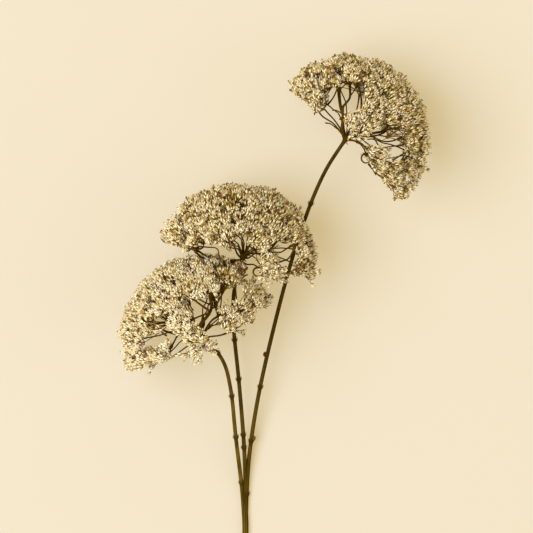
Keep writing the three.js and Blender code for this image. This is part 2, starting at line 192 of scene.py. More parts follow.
@dataclass
class Umbel:
    """One flower head. Lengths in millimetres and angles in degrees, as in the plain model."""

    name: str
    route: list  # of its branch, as places seen from above, up to the hub
    joints: list  # the Y of each joint of its branch
    hub_height: float
    axis_turn: float
    axis_lean: float
    reach: Reach
    rim_tilt: float  # from the axis to the edge of its spirals
    first_turn: float
    strays: list  # its rays beside the spiral's: turn and lean
    openings: list  # where it has no tufts: turn, lean and half the width, all as angles
    seed: int
    darkness: float  # above one, more of its buds are olive, and below one more are pale
    paleness: float  # of its branch's ribs
    masses: list  # outlines of its floret masses, seen from above, as places over the hub
    gaps: list  # outlines of the gaps in them, through which the rays show
    withered: list  # spots where the buds have withered: a place over the hub and a radius
    dull: list  # spots where the buds are dull, likewise: their own dull tone, and on the low umbel painted shade where the middle umbel hangs over it
    thin: list  # spots where the buds are few, likewise
    loose_tufts: list  # hearts of tufts that the plain model leaves out: a place over the hub, turn and lean
    side_rays: list  # bowed rays across the view: radius, heights over the hub at both ends, and points

    def __post_init__(self):
        turn = math.radians(self.axis_turn)
        self.axis = pointing(self.axis_turn, self.axis_lean)
        self.side = Vector((math.sin(turn), -math.cos(turn), 0))
        self.up = self.side.cross(self.axis)
        self.hub = Vector((*self.route[-1], self.hub_height))
        self.branch = self.branch_path()
        directions = [*self.spiral(RAYS, self.first_turn), *(pointing(*stray) for stray in self.strays)]
        self.umbellets = [
            Umbellet(f"umbellet_{self.name}_{i + 1:02d}", direction, self.ray_path(direction))
            for i, direction in enumerate(directions)
        ]
        self.side_paths = [(radius, self.side_path(*ends, flat)) for radius, ends, flat in self.side_rays]
        self.find_tufts()

    def branch_path(self):
        """The branch's axis, which rises from the main stem's height to the hub's past the fork."""
        points = []
        for x, y in self.route:
            share = max(0.0, (y - FORK_Y) / (self.hub.y - FORK_Y))
            points.append(Vector((x, y, MAIN_HEIGHT + (self.hub.z - MAIN_HEIGHT) * share**BRANCH_RISE)))
        return smooth_path(points, steps=8)

    def spiral(self, count, first_turn):
        """Directions spread evenly over the dome, in the spiral that umbels grow in."""
        rim = 1 - math.cos(math.radians(self.rim_tilt))
        directions = []
        for i in range(count):
            tilt = math.acos(1 - rim * (i + 0.5) / count)
            turn = math.radians(first_turn) + i * GOLDEN_TURN
            squeeze = FRONT_SQUEEZE if math.sin(turn) > 0 else BACK_SQUEEZE
            tilt *= 1 - squeeze * math.sin(turn) ** 2
            across = self.side * math.cos(turn) + self.up * math.sin(turn)
            directions.append(self.axis * math.cos(tilt) + across * math.sin(tilt))
        return directions

    def reach_of(self, direction):
        """How far it is from the hub to the dome's surface in that direction."""
        across = direction.dot(self.side)
        parts = max(0.0, direction.dot(self.axis)), across, direction.dot(self.up)
        reaches = self.reach.top, self.reach.right if across > 0 else self.reach.left, self.reach.depth
        whole = sum(part**2 for part in parts)
        return sum(part**2 * reach for part, reach in zip(parts, reaches)) / whole

    def is_open(self, direction):
        """Whether it points into one of the openings between the tufts."""
        return any(
            pointing(turn, lean).angle(direction) < math.radians(half_width)
            for turn, lean, half_width in self.openings
        )

    def shows(self, point, fringe):
        """Whether a floret may stand there: in a mass or not far past it, low enough, and in no gap."""
        x, y = point.x - fringe.x - self.hub.x, point.y - fringe.y - self.hub.y
        in_mass = any(is_inside(x, y, outline) for outline in self.masses)
        return in_mass and point.z < MAX_HEIGHT and not self.in_gap(point)

    def in_gap(self, point):
        """Whether the point lies under or over one of the gaps."""
        x, y = point.x - self.hub.x, point.y - self.hub.y
        return any(is_inside(x, y, outline) for outline in self.gaps)

    def knot_shows(self, direction, reach):
        """Whether the knot at the end of a ray that long would show in a gap."""
        return any(self.in_gap(self.hub + direction * (reach + past)) for past in KNOT_ENDS)

    def ray_path(self, direction):
        """A ray's path, and it grows on where its knot would show in a gap."""
        reach = RAY_REACH
        while reach < LONGEST_RAY and self.knot_shows(direction, reach):
            reach += 1
        bend = self.hub + self.axis * RAY_LIFT + direction * RAY_REACH * RAY_BEND
        return bezier(self.hub, bend, self.hub + direction * reach, steps=10)

    def offset(self, point):
        """The way from the hub to the point, seen from above."""
        return Vector((point.x - self.hub.x, point.y - self.hub.y, 0))

    def is_near(self, point, spots):
        """Whether the point is in one of the spots, seen from above."""
        return any((self.offset(point) - Vector((x, y, 0))).length < radius for x, y, radius in spots)

    def rim_share(self, point):
        """Nought over the umbel's inner part and one near its rim, seen from above."""
        out = self.offset(point).length / self.reach.top
        return min(max((out - RIM_START) / (RIM_END - RIM_START), 0.0), 1.0)

    def side_path(self, start, end, flat):
        """A bowed ray through places over the hub, rising from one height over it to another."""
        last = len(flat) - 1
        heights = [start + (end - start) * i / last for i in range(last + 1)]
        return smooth_path([self.hub + Vector((x, y, z)) for (x, y), z in zip(flat, heights)], steps=4)

    def room_to_dome(self, point, direction):
        """How far it is from a point inside the dome to its surface."""
        offset = point - self.hub
        half = offset.dot(direction)
        room = 0.0
        for _ in range(3):
            reach = self.reach_of((offset + direction * room).normalized())
            room = -half + math.sqrt(max(0.0, half**2 - offset.length_squared + reach**2))
        return room

    def nearest_umbellet(self, point):
        """The umbellet whose ray ends nearest to the point."""
        return min(self.umbellets, key=lambda umbellet: (umbellet.ray[-1] - point).length)

    def find_tufts(self):
        """Plans each tuft and keeps those that the plain model has a core for."""
        planned = []
        for umbellet in self.umbellets[RAYS:]:
            for fan in (-STRAY_FAN, STRAY_FAN):
                planned.append((umbellet, Quaternion(self.axis, fan) @ umbellet.direction))
        for outward in self.spiral(TUFTS, self.first_turn + TUFT_SHIFT):
            if not self.is_open(outward):
                planned.append((max(self.umbellets, key=lambda u: u.direction.dot(outward)), outward))
        for umbellet, outward in planned:
            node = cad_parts.get(umbellet.name)
            along = (umbellet.ray[-1] - umbellet.ray[-2]).normalized()
            foot = umbellet.ray[-1] + along * (COLLAR_SEAT + COLLAR_LENGTH / 2)
            heart = above_surface(self.hub + outward * self.reach_of(outward) * TUFT_SHARE)
            if node and (node.closest_point_on_mesh(heart * MM)[1] / MM - heart).length < TUFT_CORE:
                umbellet.tufts.append(Tuft(foot, heart, outward))
        self.umbellets = [umbellet for umbellet in self.umbellets if umbellet.tufts]
        for x, y, z, turn, lean in self.loose_tufts:
            outward = pointing(turn, lean)
            heart = self.hub + Vector((x, y, z))
            foot = heart - outward * LOOSE_DEPTH
            umbellet = self.nearest_umbellet(heart)
            start = umbellet.tufts[0].foot
            bend = start.lerp(foot, LOOSE_BEND) - outward * LOOSE_DEPTH / 2
            stalk = bezier(start, bend, foot, steps=6)
            umbellet.tufts.append(Tuft(foot, heart, outward, stalk, LOOSE_SPREAD, LOOSE_ROOM))


UMBELS = [
    Umbel(
        name="top",
        route=[
            (0, 22), (0.9, 55), (2.8, 82), (9, 123), (19.9, 172), (33.3, 222.5), (46.2, 261), (57.1, 285),
            (70, 305),
        ],
        joints=[53.8, 92, 130.8, 260.3],
        hub_height=47,
        axis_turn=45,
        axis_lean=0,
        reach=Reach(top=61, left=57, right=60, depth=58),
        rim_tilt=82,
        first_turn=40,
        strays=[(20, 76), (-36, 54)],
        openings=[(-9, 50, 15), (-9, -43, 15), (97, 48, 10)],
        seed=11,
        darkness=1.0,
        paleness=0.8,
        masses=[[
            (-37, 43), (-34, 48), (-27, 53), (-17, 55), (-10, 55), (-8, 61), (3, 62), (13, 61), (21, 56),
            (29, 52), (35, 45), (40, 39), (47, 32), (53, 26), (56, 18), (57, 8), (57, -1), (56, -9),
            (54, -16), (51, -26), (48, -34), (41, -43), (38, -41), (34, -34), (28, -30), (22, -26),
            (17, -22), (15, -17), (18, -10), (14, -3), (8, -3), (0, 2), (-4, 7), (-2, 14), (-7, 22),
            (-14, 20), (-21, 20), (-28, 27), (-35, 30),
        ]],
        gaps=[
            [
                (-18, 19), (-10, 25), (-6, 33), (-4, 38), (1, 39), (4, 36), (5, 31), (9, 31), (11, 28),
                (10, 21), (5, 17), (-1, 14), (-4, 7), (-11, 13),
            ],
            [
                (15, 5), (23, 6), (30, 9), (35, 11), (36, 3), (38, -4), (43, -8), (41, -14), (36, -17),
                (32, -15), (29, -8), (24, -6), (19, -7), (15, -4),
            ],
        ],
        withered=[(35, 5, 3), (34, -1, 1.5), (12, 42, 1.5)],
        dull=[(35, 3, 7), (-8, 37, 6)],
        thin=[(38, -1, 4)],
        loose_tufts=[
            (-19, 25, 12, 170, 25), (-20, 27, 14, 230, 50), (-28, 35, 14, 150, 40), (-7, 51, 16, 110, 20),
            (36, -35, 12, -45, 25), (45, -19, 14, -20, 40), (31, -25, 13, -50, 40), (4, 45, 34, 85, 60),
            (31, 21, 32, 40, 60),
        ],
        side_rays=[
            (0.75, (0, 4), [(-0.5, 2), (-5, 7.5), (-8.5, 11.5), (-15.5, 16), (-19, 20), (-22.5, 25)]),
            (0.7, (0, 8), [(-1.5, 5), (-7.5, 13.5), (-14, 20.5), (-17.5, 26)]),
            (0.55, (2, 6), [(-2, 5), (-7, 8.5), (-10.5, 11), (-14, 11.5)]),
            (1.5, (0, 6), [(0, 0), (-2, 7), (-1.5, 17), (-3, 21.5), (-4, 27.5), (-5, 36.5), (-6, 39)]),
            (0.6, (6, 8), [(-3.5, 35), (-1.5, 37), (1.5, 39.5)]),
            (1.1, (3, 10), [(-2, 19.5), (-1.5, 23), (1, 26), (3, 29), (3, 37.5), (3, 42)]),
            (0.6, (6, 12), [(3, 30), (5.5, 33), (7.5, 37)]),
            (0.9, (8, 12), [(11, 19.5), (11, 27.5), (10, 33), (8.5, 38)]),
            (0.7, (8, 10), [(11, 19), (14, 25), (16.5, 29), (17, 34.5), (17, 39)]),
            (0.5, (9, 12), [(14, 26.5), (14.5, 29), (14.5, 36.5)]),
            (0.7, (3, 8), [(-4, 14), (-0.5, 17), (4, 17.5), (8.5, 19), (12, 18)]),
            (0.55, (3, 2), [(-2, 18), (-6.5, 20.5), (-9, 20.5)]),
            (0.8, (0, 8), [(1.5, 0), (5, -0.5), (8.5, -1.5), (11.5, -3), (14.5, -6.5), (17, -9.5)]),
            (1.3, (6, 22), [(3, 1.5), (8.5, 2), (14, 2.5), (19, 4), (26, 5.5), (29.5, 9.5), (33, 12.5)]),
            (0.8, (8, 20), [(14, 2), (19, 2), (26, 4), (29.5, 6.5), (33.5, 7)]),
            (0.7, (8, 16), [(19, 2), (20.5, 1), (26, -1.5), (31.5, -1.5), (36.5, 0)]),
            (0.6, (8, 12), [(18, 2), (19.5, 1), (23, -5)]),
            (0.6, (12, 16), [(23, -6.5), (29.5, -5.5), (37.5, -4.5)]),
            (0.7, (12, 16), [(26, -26.5), (29.5, -25), (35, -22), (38.5, -17.5)]),
            (0.6, (12, 16), [(34.5, -19), (41, -14)]),
            (0.9, (12, 14), [(24.5, -25), (28.5, -29), (31.5, -31.5)]),
            (0.8, (8, 12), [(16, -17), (19, -21), (23, -25), (26, -26.5)]),
        ],
    ),
    Umbel(
        name="middle",
        route=[(0, 20), (0.1, 60), (-1.1, 92), (-4.6, 137), (-8.1, 175), (-7.6, 200), (-1.4, 223)],
        joints=[87.4, 96.6, 136.4, 164.4],
        hub_height=46,
        axis_turn=78,
        axis_lean=0,
        reach=Reach(top=52, left=60, right=51, depth=56),
        rim_tilt=88,
        first_turn=10,
        strays=[(0, 66), (-30, 56), (-8, 20), (138, 66), (42, 64)],
        openings=[],
        seed=23,
        darkness=1.0,
        paleness=0.8,
        masses=[[
            (-60, 15), (-54, 22), (-44, 29), (-41, 36), (-36, 41), (-30, 43), (-27, 46), (-21, 46),
            (-19, 50), (-12, 51), (-3, 51), (5, 48), (15, 48), (25, 46), (32, 42), (38, 34), (41, 28),
            (46, 20), (48, 14), (53, 4), (49, -3), (52, -16), (44, -13), (37, -10), (31, -7), (30, -14),
            (27, -19), (19, -18), (10, -14), (13, -3), (9, 5), (5, 8), (-5, 5), (-12, 7), (-19, 11),
            (-29, 12), (-32, 7), (-38, 5), (-48, 9),
        ]],
        gaps=[
            [
                (-8, 2), (-6, 11), (-1, 15), (1, 13), (1, 8), (8, 10), (13, 8), (14, 2), (13, -4),
                (12, -11), (8, -16), (-2, -16), (-2, -4),
            ],
            [
                (17, 5), (19, 10), (24, 12), (29, 12), (32, 7), (33, 1), (36, -4), (32, -8), (27, -6),
                (25, 1), (18, 3),
            ],
            [(33, 8), (38, 8), (36, -3), (33, -13), (29, -13), (30, -3)],
        ],
        withered=[(39, -8, 2.5)],
        dull=[(-6, 40, 7), (38, -6, 6)],
        thin=[(46, -8, 8), (33, 2, 5), (-9, 10, 6), (3, 15, 7), (22, 20, 6)],
        loose_tufts=[(-36, 9, 10, 150, 20), (-13, 15, 30, 250, 40)],
        side_rays=[
            (0.9, (0, 8), [(-0.5, -1.5), (-4, 2.5), (-6, 7.5), (-8.5, 12)]),
            (0.9, (0, 10), [(0, -1.5), (5.5, 3.5), (10.5, 7.5), (13.5, 10.5)]),
            (0.8, (0, 12), [(2, -0.5), (4, -0.5), (8.5, 2.5), (14, 2), (16.5, 3.5)]),
            (0.6, (4, 8), [(5, 7.5), (8.5, 4.5)]),
            (1.0, (12, 22), [(16.5, 2.5), (21, 7.5), (25, 13), (26.5, 17)]),
            (0.7, (12, 20), [(16.5, 3.5), (22, 3.5), (26.5, 3.5), (30.5, 6), (33, 7.5)]),
            (0.8, (14, 20), [(23, -4), (26.5, -3), (31.5, -1), (34.5, 3.5), (35.5, 6.5)]),
            (0.6, (14, 12), [(15.5, 9.5), (16.5, 4.5)]),
            (0.8, (8, 14), [(22.5, -10.5), (27.5, -11.5), (33.5, -10), (37.5, -7.5), (43, -6.5)]),
            (0.6, (12, 14), [(33.5, -10.5), (39.5, -12), (42.5, -13)]),
            (0.7, (0, 8), [(0, -3.5), (3, -5), (7, -5), (11, -7), (16.5, -8), (22, -9)]),
            (0.6, (2, 8), [(-14.5, -2), (-16.5, 1), (-18, 6), (-25, 7), (-32, 7.5)]),
            (0.85, (0, 6), [(-1.5, -2), (-10.5, -2), (-19.5, -1), (-26.5, 1.5), (-32, 5)]),
            (0.8, (0, 8), [(-1.5, -3), (-12, -3.5), (-22.5, -2), (-29, 0), (-32.5, 3.5)]),
        ],
    ),
    Umbel(
        name="low",
        route=[(0, 18), (-2, 53), (-6.7, 95), (-10.4, 131), (-15.5, 150), (-29, 168)],
        joints=[62.2, 95.1, 124.6, 155.3],
        hub_height=40,
        axis_turn=120,
        axis_lean=12,
        reach=Reach(top=57.5, left=59.5, right=56, depth=57),
        rim_tilt=84,
        first_turn=75,
        strays=[(-80, 82), (36, 10), (28, 38), (33, 56), (206, 47)],
        openings=[(181, 56, 8), (80, 64, 10), (53, 20, 20), (44, 43, 10)],
        seed=37,
        darkness=0.5,
        paleness=1.5,
        masses=[
            [
                (-57, -26), (-55, -16), (-54, -8), (-58, -1), (-60, 6), (-57, 12), (-54, 20), (-50, 27),
                (-47, 34), (-41, 39), (-35, 45), (-28, 49), (-21, 53), (-13, 56), (-2, 57), (11, 57),
                (17, 55), (24, 56), (29, 50), (27, 44), (31, 40), (22, 40), (15, 38), (12, 31), (8, 26),
                (2, 25), (-2, 17), (-5, 10), (2, 3), (7, -1), (11, -6), (4, -12), (-2, -18), (-10, -13),
                (-17, -11), (-26, -18), (-36, -18), (-46, -22),
            ],
            [
                (28, 36), (30, 41), (37, 39), (42, 36), (47, 30), (51, 23), (49, 18), (42, 15), (36, 12),
                (29, 8), (22, 3), (17, 7), (13, 13), (10, 18), (14, 23), (19, 24), (26, 23), (29, 28),
            ],
        ],
        gaps=[
            [(-44, -3), (-41, 1), (-36, 3), (-28, 1), (-25, -4), (-30, -6), (-38, -4)],
            [(-24, -10), (-20, -3), (-13, -2), (-10, -7), (-14, -12)],
            [(-11, 24), (-7, 28), (0, 25), (0, 17), (-3, 12), (-9, 16)],
        ],
        withered=[(28, 48, 4), (-40, -12, 2)],
        # Painted shade in part: these dull spots lie where the middle umbel hangs over this one.
        dull=[(27, 47, 9), (20, 46, 8), (15, 48, 8), (40, 34, 9)],
        thin=[(41, 34, 9), (30, 24, 8), (48, 20, 6), (15, 41, 6), (-34, 9.5, 4.5)],
        loose_tufts=[
            (2, 37, 30, 95, 50), (-6, 32, 34, 110, 45), (18, 40, 28, 70, 35), (26, 46, 16, 60, 20),
            (-33, -12, 18, 215, 45),
        ],
        side_rays=[
            (1.0, (0, 12), [(0.5, -1.5), (0.5, 1.5), (2, 5.5), (6, 11), (10.5, 14)]),
            (0.8, (12, 16), [(10.5, 14), (8.5, 20), (7.5, 23.5), (10, 28), (13, 32.5)]),
            (0.6, (10, 12), [(11.5, 16.5), (12.5, 25), (13, 32.5)]),
            (0.9, (28, 34), [(4.5, 18), (-2, 22.5), (-7.5, 26.5), (-13.5, 29)]),
            (1.4, (8, 26), [(-1, 4), (-2, 8.5), (2, 12.5), (5, 17), (6, 22), (5, 28)]),
            (0.8, (28, 30), [(4.5, 16.5), (-2.5, 14), (-8, 11.5)]),
            (0.6, (28, 28), [(-6.5, 18), (-8.5, 21), (-9, 23)]),
            (0.8, (0, 6), [(1, -1.5), (5, -0.5), (12, 0.5), (20, 3.5)]),
            (0.7, (24, 22), [(-25, 0.5), (-31.5, 4.5), (-38.5, 4), (-45.5, 2)]),
            (1.0, (0, 26), [(-0.5, -1), (-9.5, 0), (-18, 1), (-28.5, 4.5), (-34, 7.5), (-40, 8.5)]),
            (0.8, (16, 16), [(-18, 0.5), (-19.5, -2.5), (-22, -7)]),
            (0.7, (0, 8), [(-0.5, -2), (-5, -3.5), (-11, -7), (-18, -12), (-24.5, -16), (-30.5, -17.5)]),
            (0.55, (8, 8), [(-27.5, -16.5), (-37.5, -17), (-46.5, -19), (-52, -22)]),
            (0.5, (10, 6), [(11.5, 15.5), (15.5, 12.5), (20, 5.5)]),
            (0.55, (6, 9.5), [(20.5, 4), (29.5, 9), (34.5, 12)]),
            (0.6, (10, 14), [(34.5, 12.5), (34.5, 17), (34, 22)]),
        ],
    ),
]


# ------------------------------------------------------------------ settings


def number_setting(name, description, default, unit="NONE"):
    """A plain number."""
    return bpy.props.FloatProperty(name=name, description=description, default=default, unit=unit)


def length_setting(name, description, millimetres):
    """A length, with its default in millimetres."""
    return number_setting(name, description, millimetres * MM, "LENGTH")


def colour_setting(name, description, default):
    """A colour, as linear red, green and blue."""
    return bpy.props.FloatVectorProperty(name=name, description=description, default=default, subtype="COLOR")


class StalkSettings(bpy.types.PropertyGroup):
    """Sizes and colours of the main stem and its branches."""

    main_radius: length_setting("Main stem", "Radius of the main stem", 2.25)
    branch_radius: length_setting("Branch", "Radius of a branch where it leaves the main stem", 1.55)
    joint_swell: number_setting("Joint swelling", "Radius of a joint as a share of the branch's own", 1.22)
    colour: colour_setting("Stalk", "Colour of the dry stalk", (0.048, 0.025, 0.002))
    rib_colour: colour_setting("Ribs", "Colour of its ribs and scales", (0.165, 0.11, 0.014))
    bud_colour: colour_setting("Side buds", "Colour of the dead side buds", (0.16, 0.022, 0.012))


class RaySettings(bpy.types.PropertyGroup):
    """Sizes and colours of the rays and twigs."""

    ray_radius: length_setting("Ray", "Radius of a ray at its foot", 0.58)
    twig_radius: length_setting("Twig", "Radius of a twig where it leaves its ray", 0.25)
    colour: colour_setting("Ray", "Colour of the rays", (0.056, 0.028, 0.002))
    twig_colour: colour_setting("Twig", "Colour of the twigs near the buds", (0.24, 0.128, 0.012))


class BudSettings(bpy.types.PropertyGroup):
    """Sizes, numbers and colours of the buds."""

    length: length_setting("Length", "Length of a closed bud", 3.7)
    radius: length_setting("Radius", "Radius of a closed bud", 0.6)
    clusters: bpy.props.IntProperty(name="Clusters", description="Clusters of buds in a tuft", default=6)
    buds: bpy.props.IntProperty(name="Buds", description="Buds in a cluster", default=31)
    white: colour_setting("White", "Colour of the palest florets", (1.0, 0.935, 0.755))
    cream: colour_setting("Cream", "Colour of a bud", (0.96, 0.825, 0.52))
    straw: colour_setting("Straw", "Colour of a dull bud", (0.59, 0.43, 0.15))
    olive: colour_setting("Olive", "Colour of the greener buds and of the calyx", (0.225, 0.135, 0.015))
    gold: colour_setting("Gold", "Colour of the ripe buds, also in the tips", (0.58, 0.36, 0.07))
    rust: colour_setting("Rust", "Colour of the few withered buds", (0.17, 0.035, 0.014))


class StageSettings(bpy.types.PropertyGroup):
    """The floor, the light and the camera."""

    floor_colour: colour_setting("Floor", "Colour of the floor", (0.31, 0.335, 0.415))
    # The floor's glow is painted light: an emission that keeps the shadows cast on the floor pale.
    painted_glow_colour: colour_setting("Glow", "Light that the floor gives of itself", (0.432, 0.314, 0.101))
    key_power: number_setting("Key light", "Power of the soft key light in watts", 290)
    fill_power: number_setting("Fill light", "Power of the low fill light in watts", 60)
    sky_strength: number_setting("Sky", "Strength of the even light around", 0.66)
    lens: number_setting("Lens", "Focal length in millimetres", 200)


# ------------------------------------------------------------------ finishes

BLACK = (0, 0, 0)
DRY_PITH = (1, 0.9, 0.6)


def new_group(name, inputs, outputs):
    """A shader node group with named sockets, given as (name, socket type, default)."""
    group = bpy.data.node_groups.new(name, "ShaderNodeTree")
    for label, kind, default in inputs:
        socket = group.interface.new_socket(label, in_out="INPUT", socket_type=kind)
        socket.default_value = default
    for label, kind in outputs:
        group.interface.new_socket(label, in_out="OUTPUT", socket_type=kind)
    return group, group.nodes.new("NodeGroupInput"), group.nodes.new("NodeGroupOutput")


def dry_mottling():
    """Blotches drawn out along the stalks and fine specks, read from Object coordinates."""
    group, start, end = new_group(
        "Dry mottling",
        [
            ("Colour", "NodeSocketColor", (0.5, 0.4, 0.2, 1)),
            ("Stain", "NodeSocketColor", (0.1, 0.07, 0.02, 1)),
            ("Blotch size", "NodeSocketFloat", 120.0),
            ("Shortening", "NodeSocketVector", (1.0, 1.0, 1.0)),
            ("Amount", "NodeSocketFloat", 0.4),
        ],
        [("Colour", "NodeSocketColor"), ("Height", "NodeSocketFloat"), ("Roughness", "NodeSocketFloat")],
    )
    coordinates = group.nodes.new("ShaderNodeTexCoord")
    stretch = group.nodes.new("ShaderNodeVectorMath")
    blotches, specks = (group.nodes.new("ShaderNodeTexNoise") for _ in range(2))
    spread, dull = (group.nodes.new("ShaderNodeMapRange") for _ in range(2))
    amount, finer = (group.nodes.new("ShaderNodeMath") for _ in range(2))
    mix = group.nodes.new("ShaderNodeMix")
    mix.data_type = "RGBA"
    stretch.operation = amount.operation = finer.operation = "MULTIPLY"
    for node, socket, value in (
        (finer, 1, 9.0),
        (spread, "From Min", 0.42),
        (spread, "From Max", 0.68),
        (dull, "To Min", 0.5),
        (dull, "To Max", 0.85),
        (blotches, "Detail", 4.0),
    ):
        node.inputs[socket].default_value = value
    for source, output, target, socket in (
        (coordinates, "Object", stretch, 0),
        (start, "Shortening", stretch, 1),
        (stretch, "Vector", blotches, "Vector"),
        (stretch, "Vector", specks, "Vector"),
        (start, "Blotch size", blotches, "Scale"),
        (start, "Blotch size", finer, 0),
        (finer, "Value", specks, "Scale"),
        (blotches, "Fac", spread, "Value"),
        (specks, "Fac", dull, "Value"),
        (spread, "Result", amount, 0),
        (start, "Amount", amount, 1),
        (amount, "Value", mix, "Factor"),
        (start, "Colour", mix, "A"),
        (start, "Stain", mix, "B"),
        (mix, "Result", end, "Colour"),
        (specks, "Fac", end, "Height"),
        (dull, "Result", end, "Roughness"),
    ):
        group.links.new(source.outputs[output], target.inputs[socket])


class Finish:
    """A material in the making: its Principled shader and the nodes that lead to it."""

    def __init__(self, name, roughness, specular):
        self.material = bpy.data.materials.new(name)
        self.material.use_nodes = True
        self.nodes = self.material.node_tree.nodes
        self.link = self.material.node_tree.links.new
        self.shader = self.nodes["Principled BSDF"]
        self.shader.inputs["Roughness"].default_value = roughness
        self.shader.inputs["Specular IOR Level"].default_value = specular

    def attribute(self, name):
        """The output of a float attribute of the mesh."""
        reader = self.nodes.new("ShaderNodeAttribute")
        reader.attribute_name = name
        return reader.outputs["Fac"]

    def ramp(self, value, stops):
        """A colour ramp with (position, colour) stops, fed by a value. A colour may be one grey number."""
        node = self.nodes.new("ShaderNodeValToRGB")
        points = node.color_ramp.elements
        while len(points) < len(stops):
            points.new(0.5)
        for point, (position, colour) in zip(points, stops):
            point.position = position
            point.color = (*((colour,) * 3 if isinstance(colour, float) else colour), 1)
        self.link(value, node.inputs["Fac"])
        return node.outputs["Color"]

    def blend(self, factor, a, b):
        """A mix of two colours, each an output or a fixed colour."""
        mix = self.nodes.new("ShaderNodeMix")
        mix.data_type = "RGBA"
        self.link(factor, mix.inputs["Factor"])
        for socket, colour in ((mix.inputs["A"], a), (mix.inputs["B"], b)):
            if isinstance(colour, bpy.types.NodeSocket):
                self.link(colour, socket)
            else:
                socket.default_value = (*colour, 1)
        return mix.outputs["Result"]

    def mottled(self, colour, stain, size, amount, bump, shortening=(1, 1, 1)):
        """The material, with the mottling group between the colour and the shader and its specks as bumps."""
        mottling = self.nodes.new("ShaderNodeGroup")
        mottling.node_tree = bpy.data.node_groups["Dry mottling"]
        relief = self.nodes.new("ShaderNodeBump")
        for node, socket, value in (
            (mottling, "Stain", (*stain, 1)),
            (mottling, "Blotch size", size),
            (mottling, "Shortening", shortening),
            (mottling, "Amount", amount),
            (relief, "Strength", bump),
            (relief, "Distance", 0.2 * MM),
        ):
            node.inputs[socket].default_value = value
        self.link(colour, mottling.inputs["Colour"])
        self.link(mottling.outputs["Height"], relief.inputs["Height"])
        self.link(mottling.outputs["Colour"], self.shader.inputs["Base Color"])
        self.link(mottling.outputs["Roughness"], self.shader.inputs["Roughness"])
        self.link(relief.outputs["Normal"], self.shader.inputs["Normal"])
        return self.material


def between(a, b, share):
    """A fixed colour between two others."""
    return [p + (q - p) * share for p, q in zip(a, b)]


def darkened(colour, share):
    """A fixed colour, that share of the way to black."""
    return between(colour, BLACK, share)


def stalk_material(stalk):
    """Dry olive-brown stalk with a streaky grain, paler along its ribs and at its cut, dark at its joints."""
    finish = Finish("dry_stalk", roughness=0.6, specular=0.0)
    rib, joint, pale, withered = (finish.attribute(name) for name in ("rib", "joint", "pale", "withered"))
    ribs = finish.ramp(rib, [(0.0, stalk.colour), (1.0, stalk.rib_colour)])
    dark = darkened(stalk.colour, 0.6)
    rings = finish.ramp(joint, [(0.0, 0.0), (0.5, 0.0), (0.8, 0.35), (1.0, 0.6)])
    colour = finish.blend(rings, ribs, dark)
    colour = finish.blend(pale, colour, between(stalk.rib_colour, DRY_PITH, 0.6))
    colour = finish.blend(withered, colour, stalk.bud_colour)
    return finish.mottled(colour, dark, size=260.0, amount=0.65, bump=0.5, shortening=(1, 0.12, 1))


def ray_material(rays):
    """Dark brown rays with paler stretches, which turn olive towards the buds."""
    finish = Finish("dry_ray", roughness=0.65, specular=0.0)
    middle = between(rays.colour, rays.twig_colour, 0.35)
    stops = [(0.0, rays.colour), (0.3, middle), (0.5, rays.colour), (0.68, middle), (0.9, rays.twig_colour)]
    colour = finish.ramp(finish.attribute("outward"), stops)
    return finish.mottled(colour, darkened(rays.colour, 0.6), size=150.0, amount=0.6, bump=0.4)


def bud_material(buds, rays):
    """Buds from olive to cream to white, each with a tint of its own, on olive stalks and with olive tips;
    their darker lower parts are partly their own olive-brown and partly painted shade between the buds.
    """
    finish = Finish("cream_bud", roughness=0.62, specular=0.03)
    along, tint, ripe = (finish.attribute(name) for name in ("along", "tint", "ripe"))
    ivory = between(buds.cream, buds.white, 0.6)
    body = finish.ramp(tint, [
        (0.0, darkened(buds.olive, 0.5)), (0.12, buds.olive), (0.28, buds.straw), (0.52, buds.cream),
        (0.8, ivory), (1.0, buds.white),
    ])
    aged = finish.ramp(ripe, [(0.5, buds.gold), (1.0, buds.rust)])
    body = finish.blend(finish.ramp(ripe, [(0.0, 0.0), (0.5, 0.8), (1.0, 0.9)]), body, aged)
    # The flank, calyx and stalk colours darken the lower part of each bud: partly the bud's own olive-brown,
    # partly painted shade in the gaps between the buds.
    for stops, colour in (  # how far each colour covers the body, from the stalk's foot to the bud's tip
        ([(0.0, 0.0), (0.82, 0.0), (0.94, 0.4), (1.0, 0.7)], between(buds.gold, buds.olive, 0.75)),
        ([(0.0, 1.0), (0.42, 0.8), (0.54, 0.4), (0.68, 0.0)], between(buds.straw, buds.olive, 0.3)),
        ([(0.0, 1.0), (0.34, 1.0), (0.44, 0.55), (0.54, 0.0)], darkened(buds.olive, 0.35)),
        ([(0.0, 1.0), (0.18, 0.7), (0.3, 0.0)], darkened(rays.twig_colour, 0.5)),
    ):
        body = finish.blend(finish.ramp(along, stops), body, colour)
    return finish.mottled(body, buds.olive, size=420.0, amount=0.3, bump=0.3)


# ------------------------------------------------------------------ modelling


def deselect_all():
    """Leaves nothing selected, so that an operator acts on what is made next."""
    bpy.ops.object.select_all(action="DESELECT")


def select_only(piece):
    """Makes the piece the one selected and active object."""
    deselect_all()
    piece.select_set(True)
    bpy.context.view_layer.objects.active = piece


def apply_place(piece):
    """Puts the piece's place into its mesh."""
    select_only(piece)
    bpy.ops.object.transform_apply(location=True, rotation=True, scale=True)


def join(pieces, name):
    """Joins the pieces into the first one."""
    select_only(pieces[0])
    for piece in pieces:
        piece.select_set(True)
    if len(pieces) > 1:
        bpy.ops.object.join()
    pieces[0].name = pieces[0].data.name = name
    return pieces[0]


def set_mode(mode, select=None):
    """Enters or leaves edit mode, there selecting or deselecting everything."""
    bpy.ops.object.mode_set(mode=mode)
    if select:
        bpy.ops.mesh.select_all(action=select)


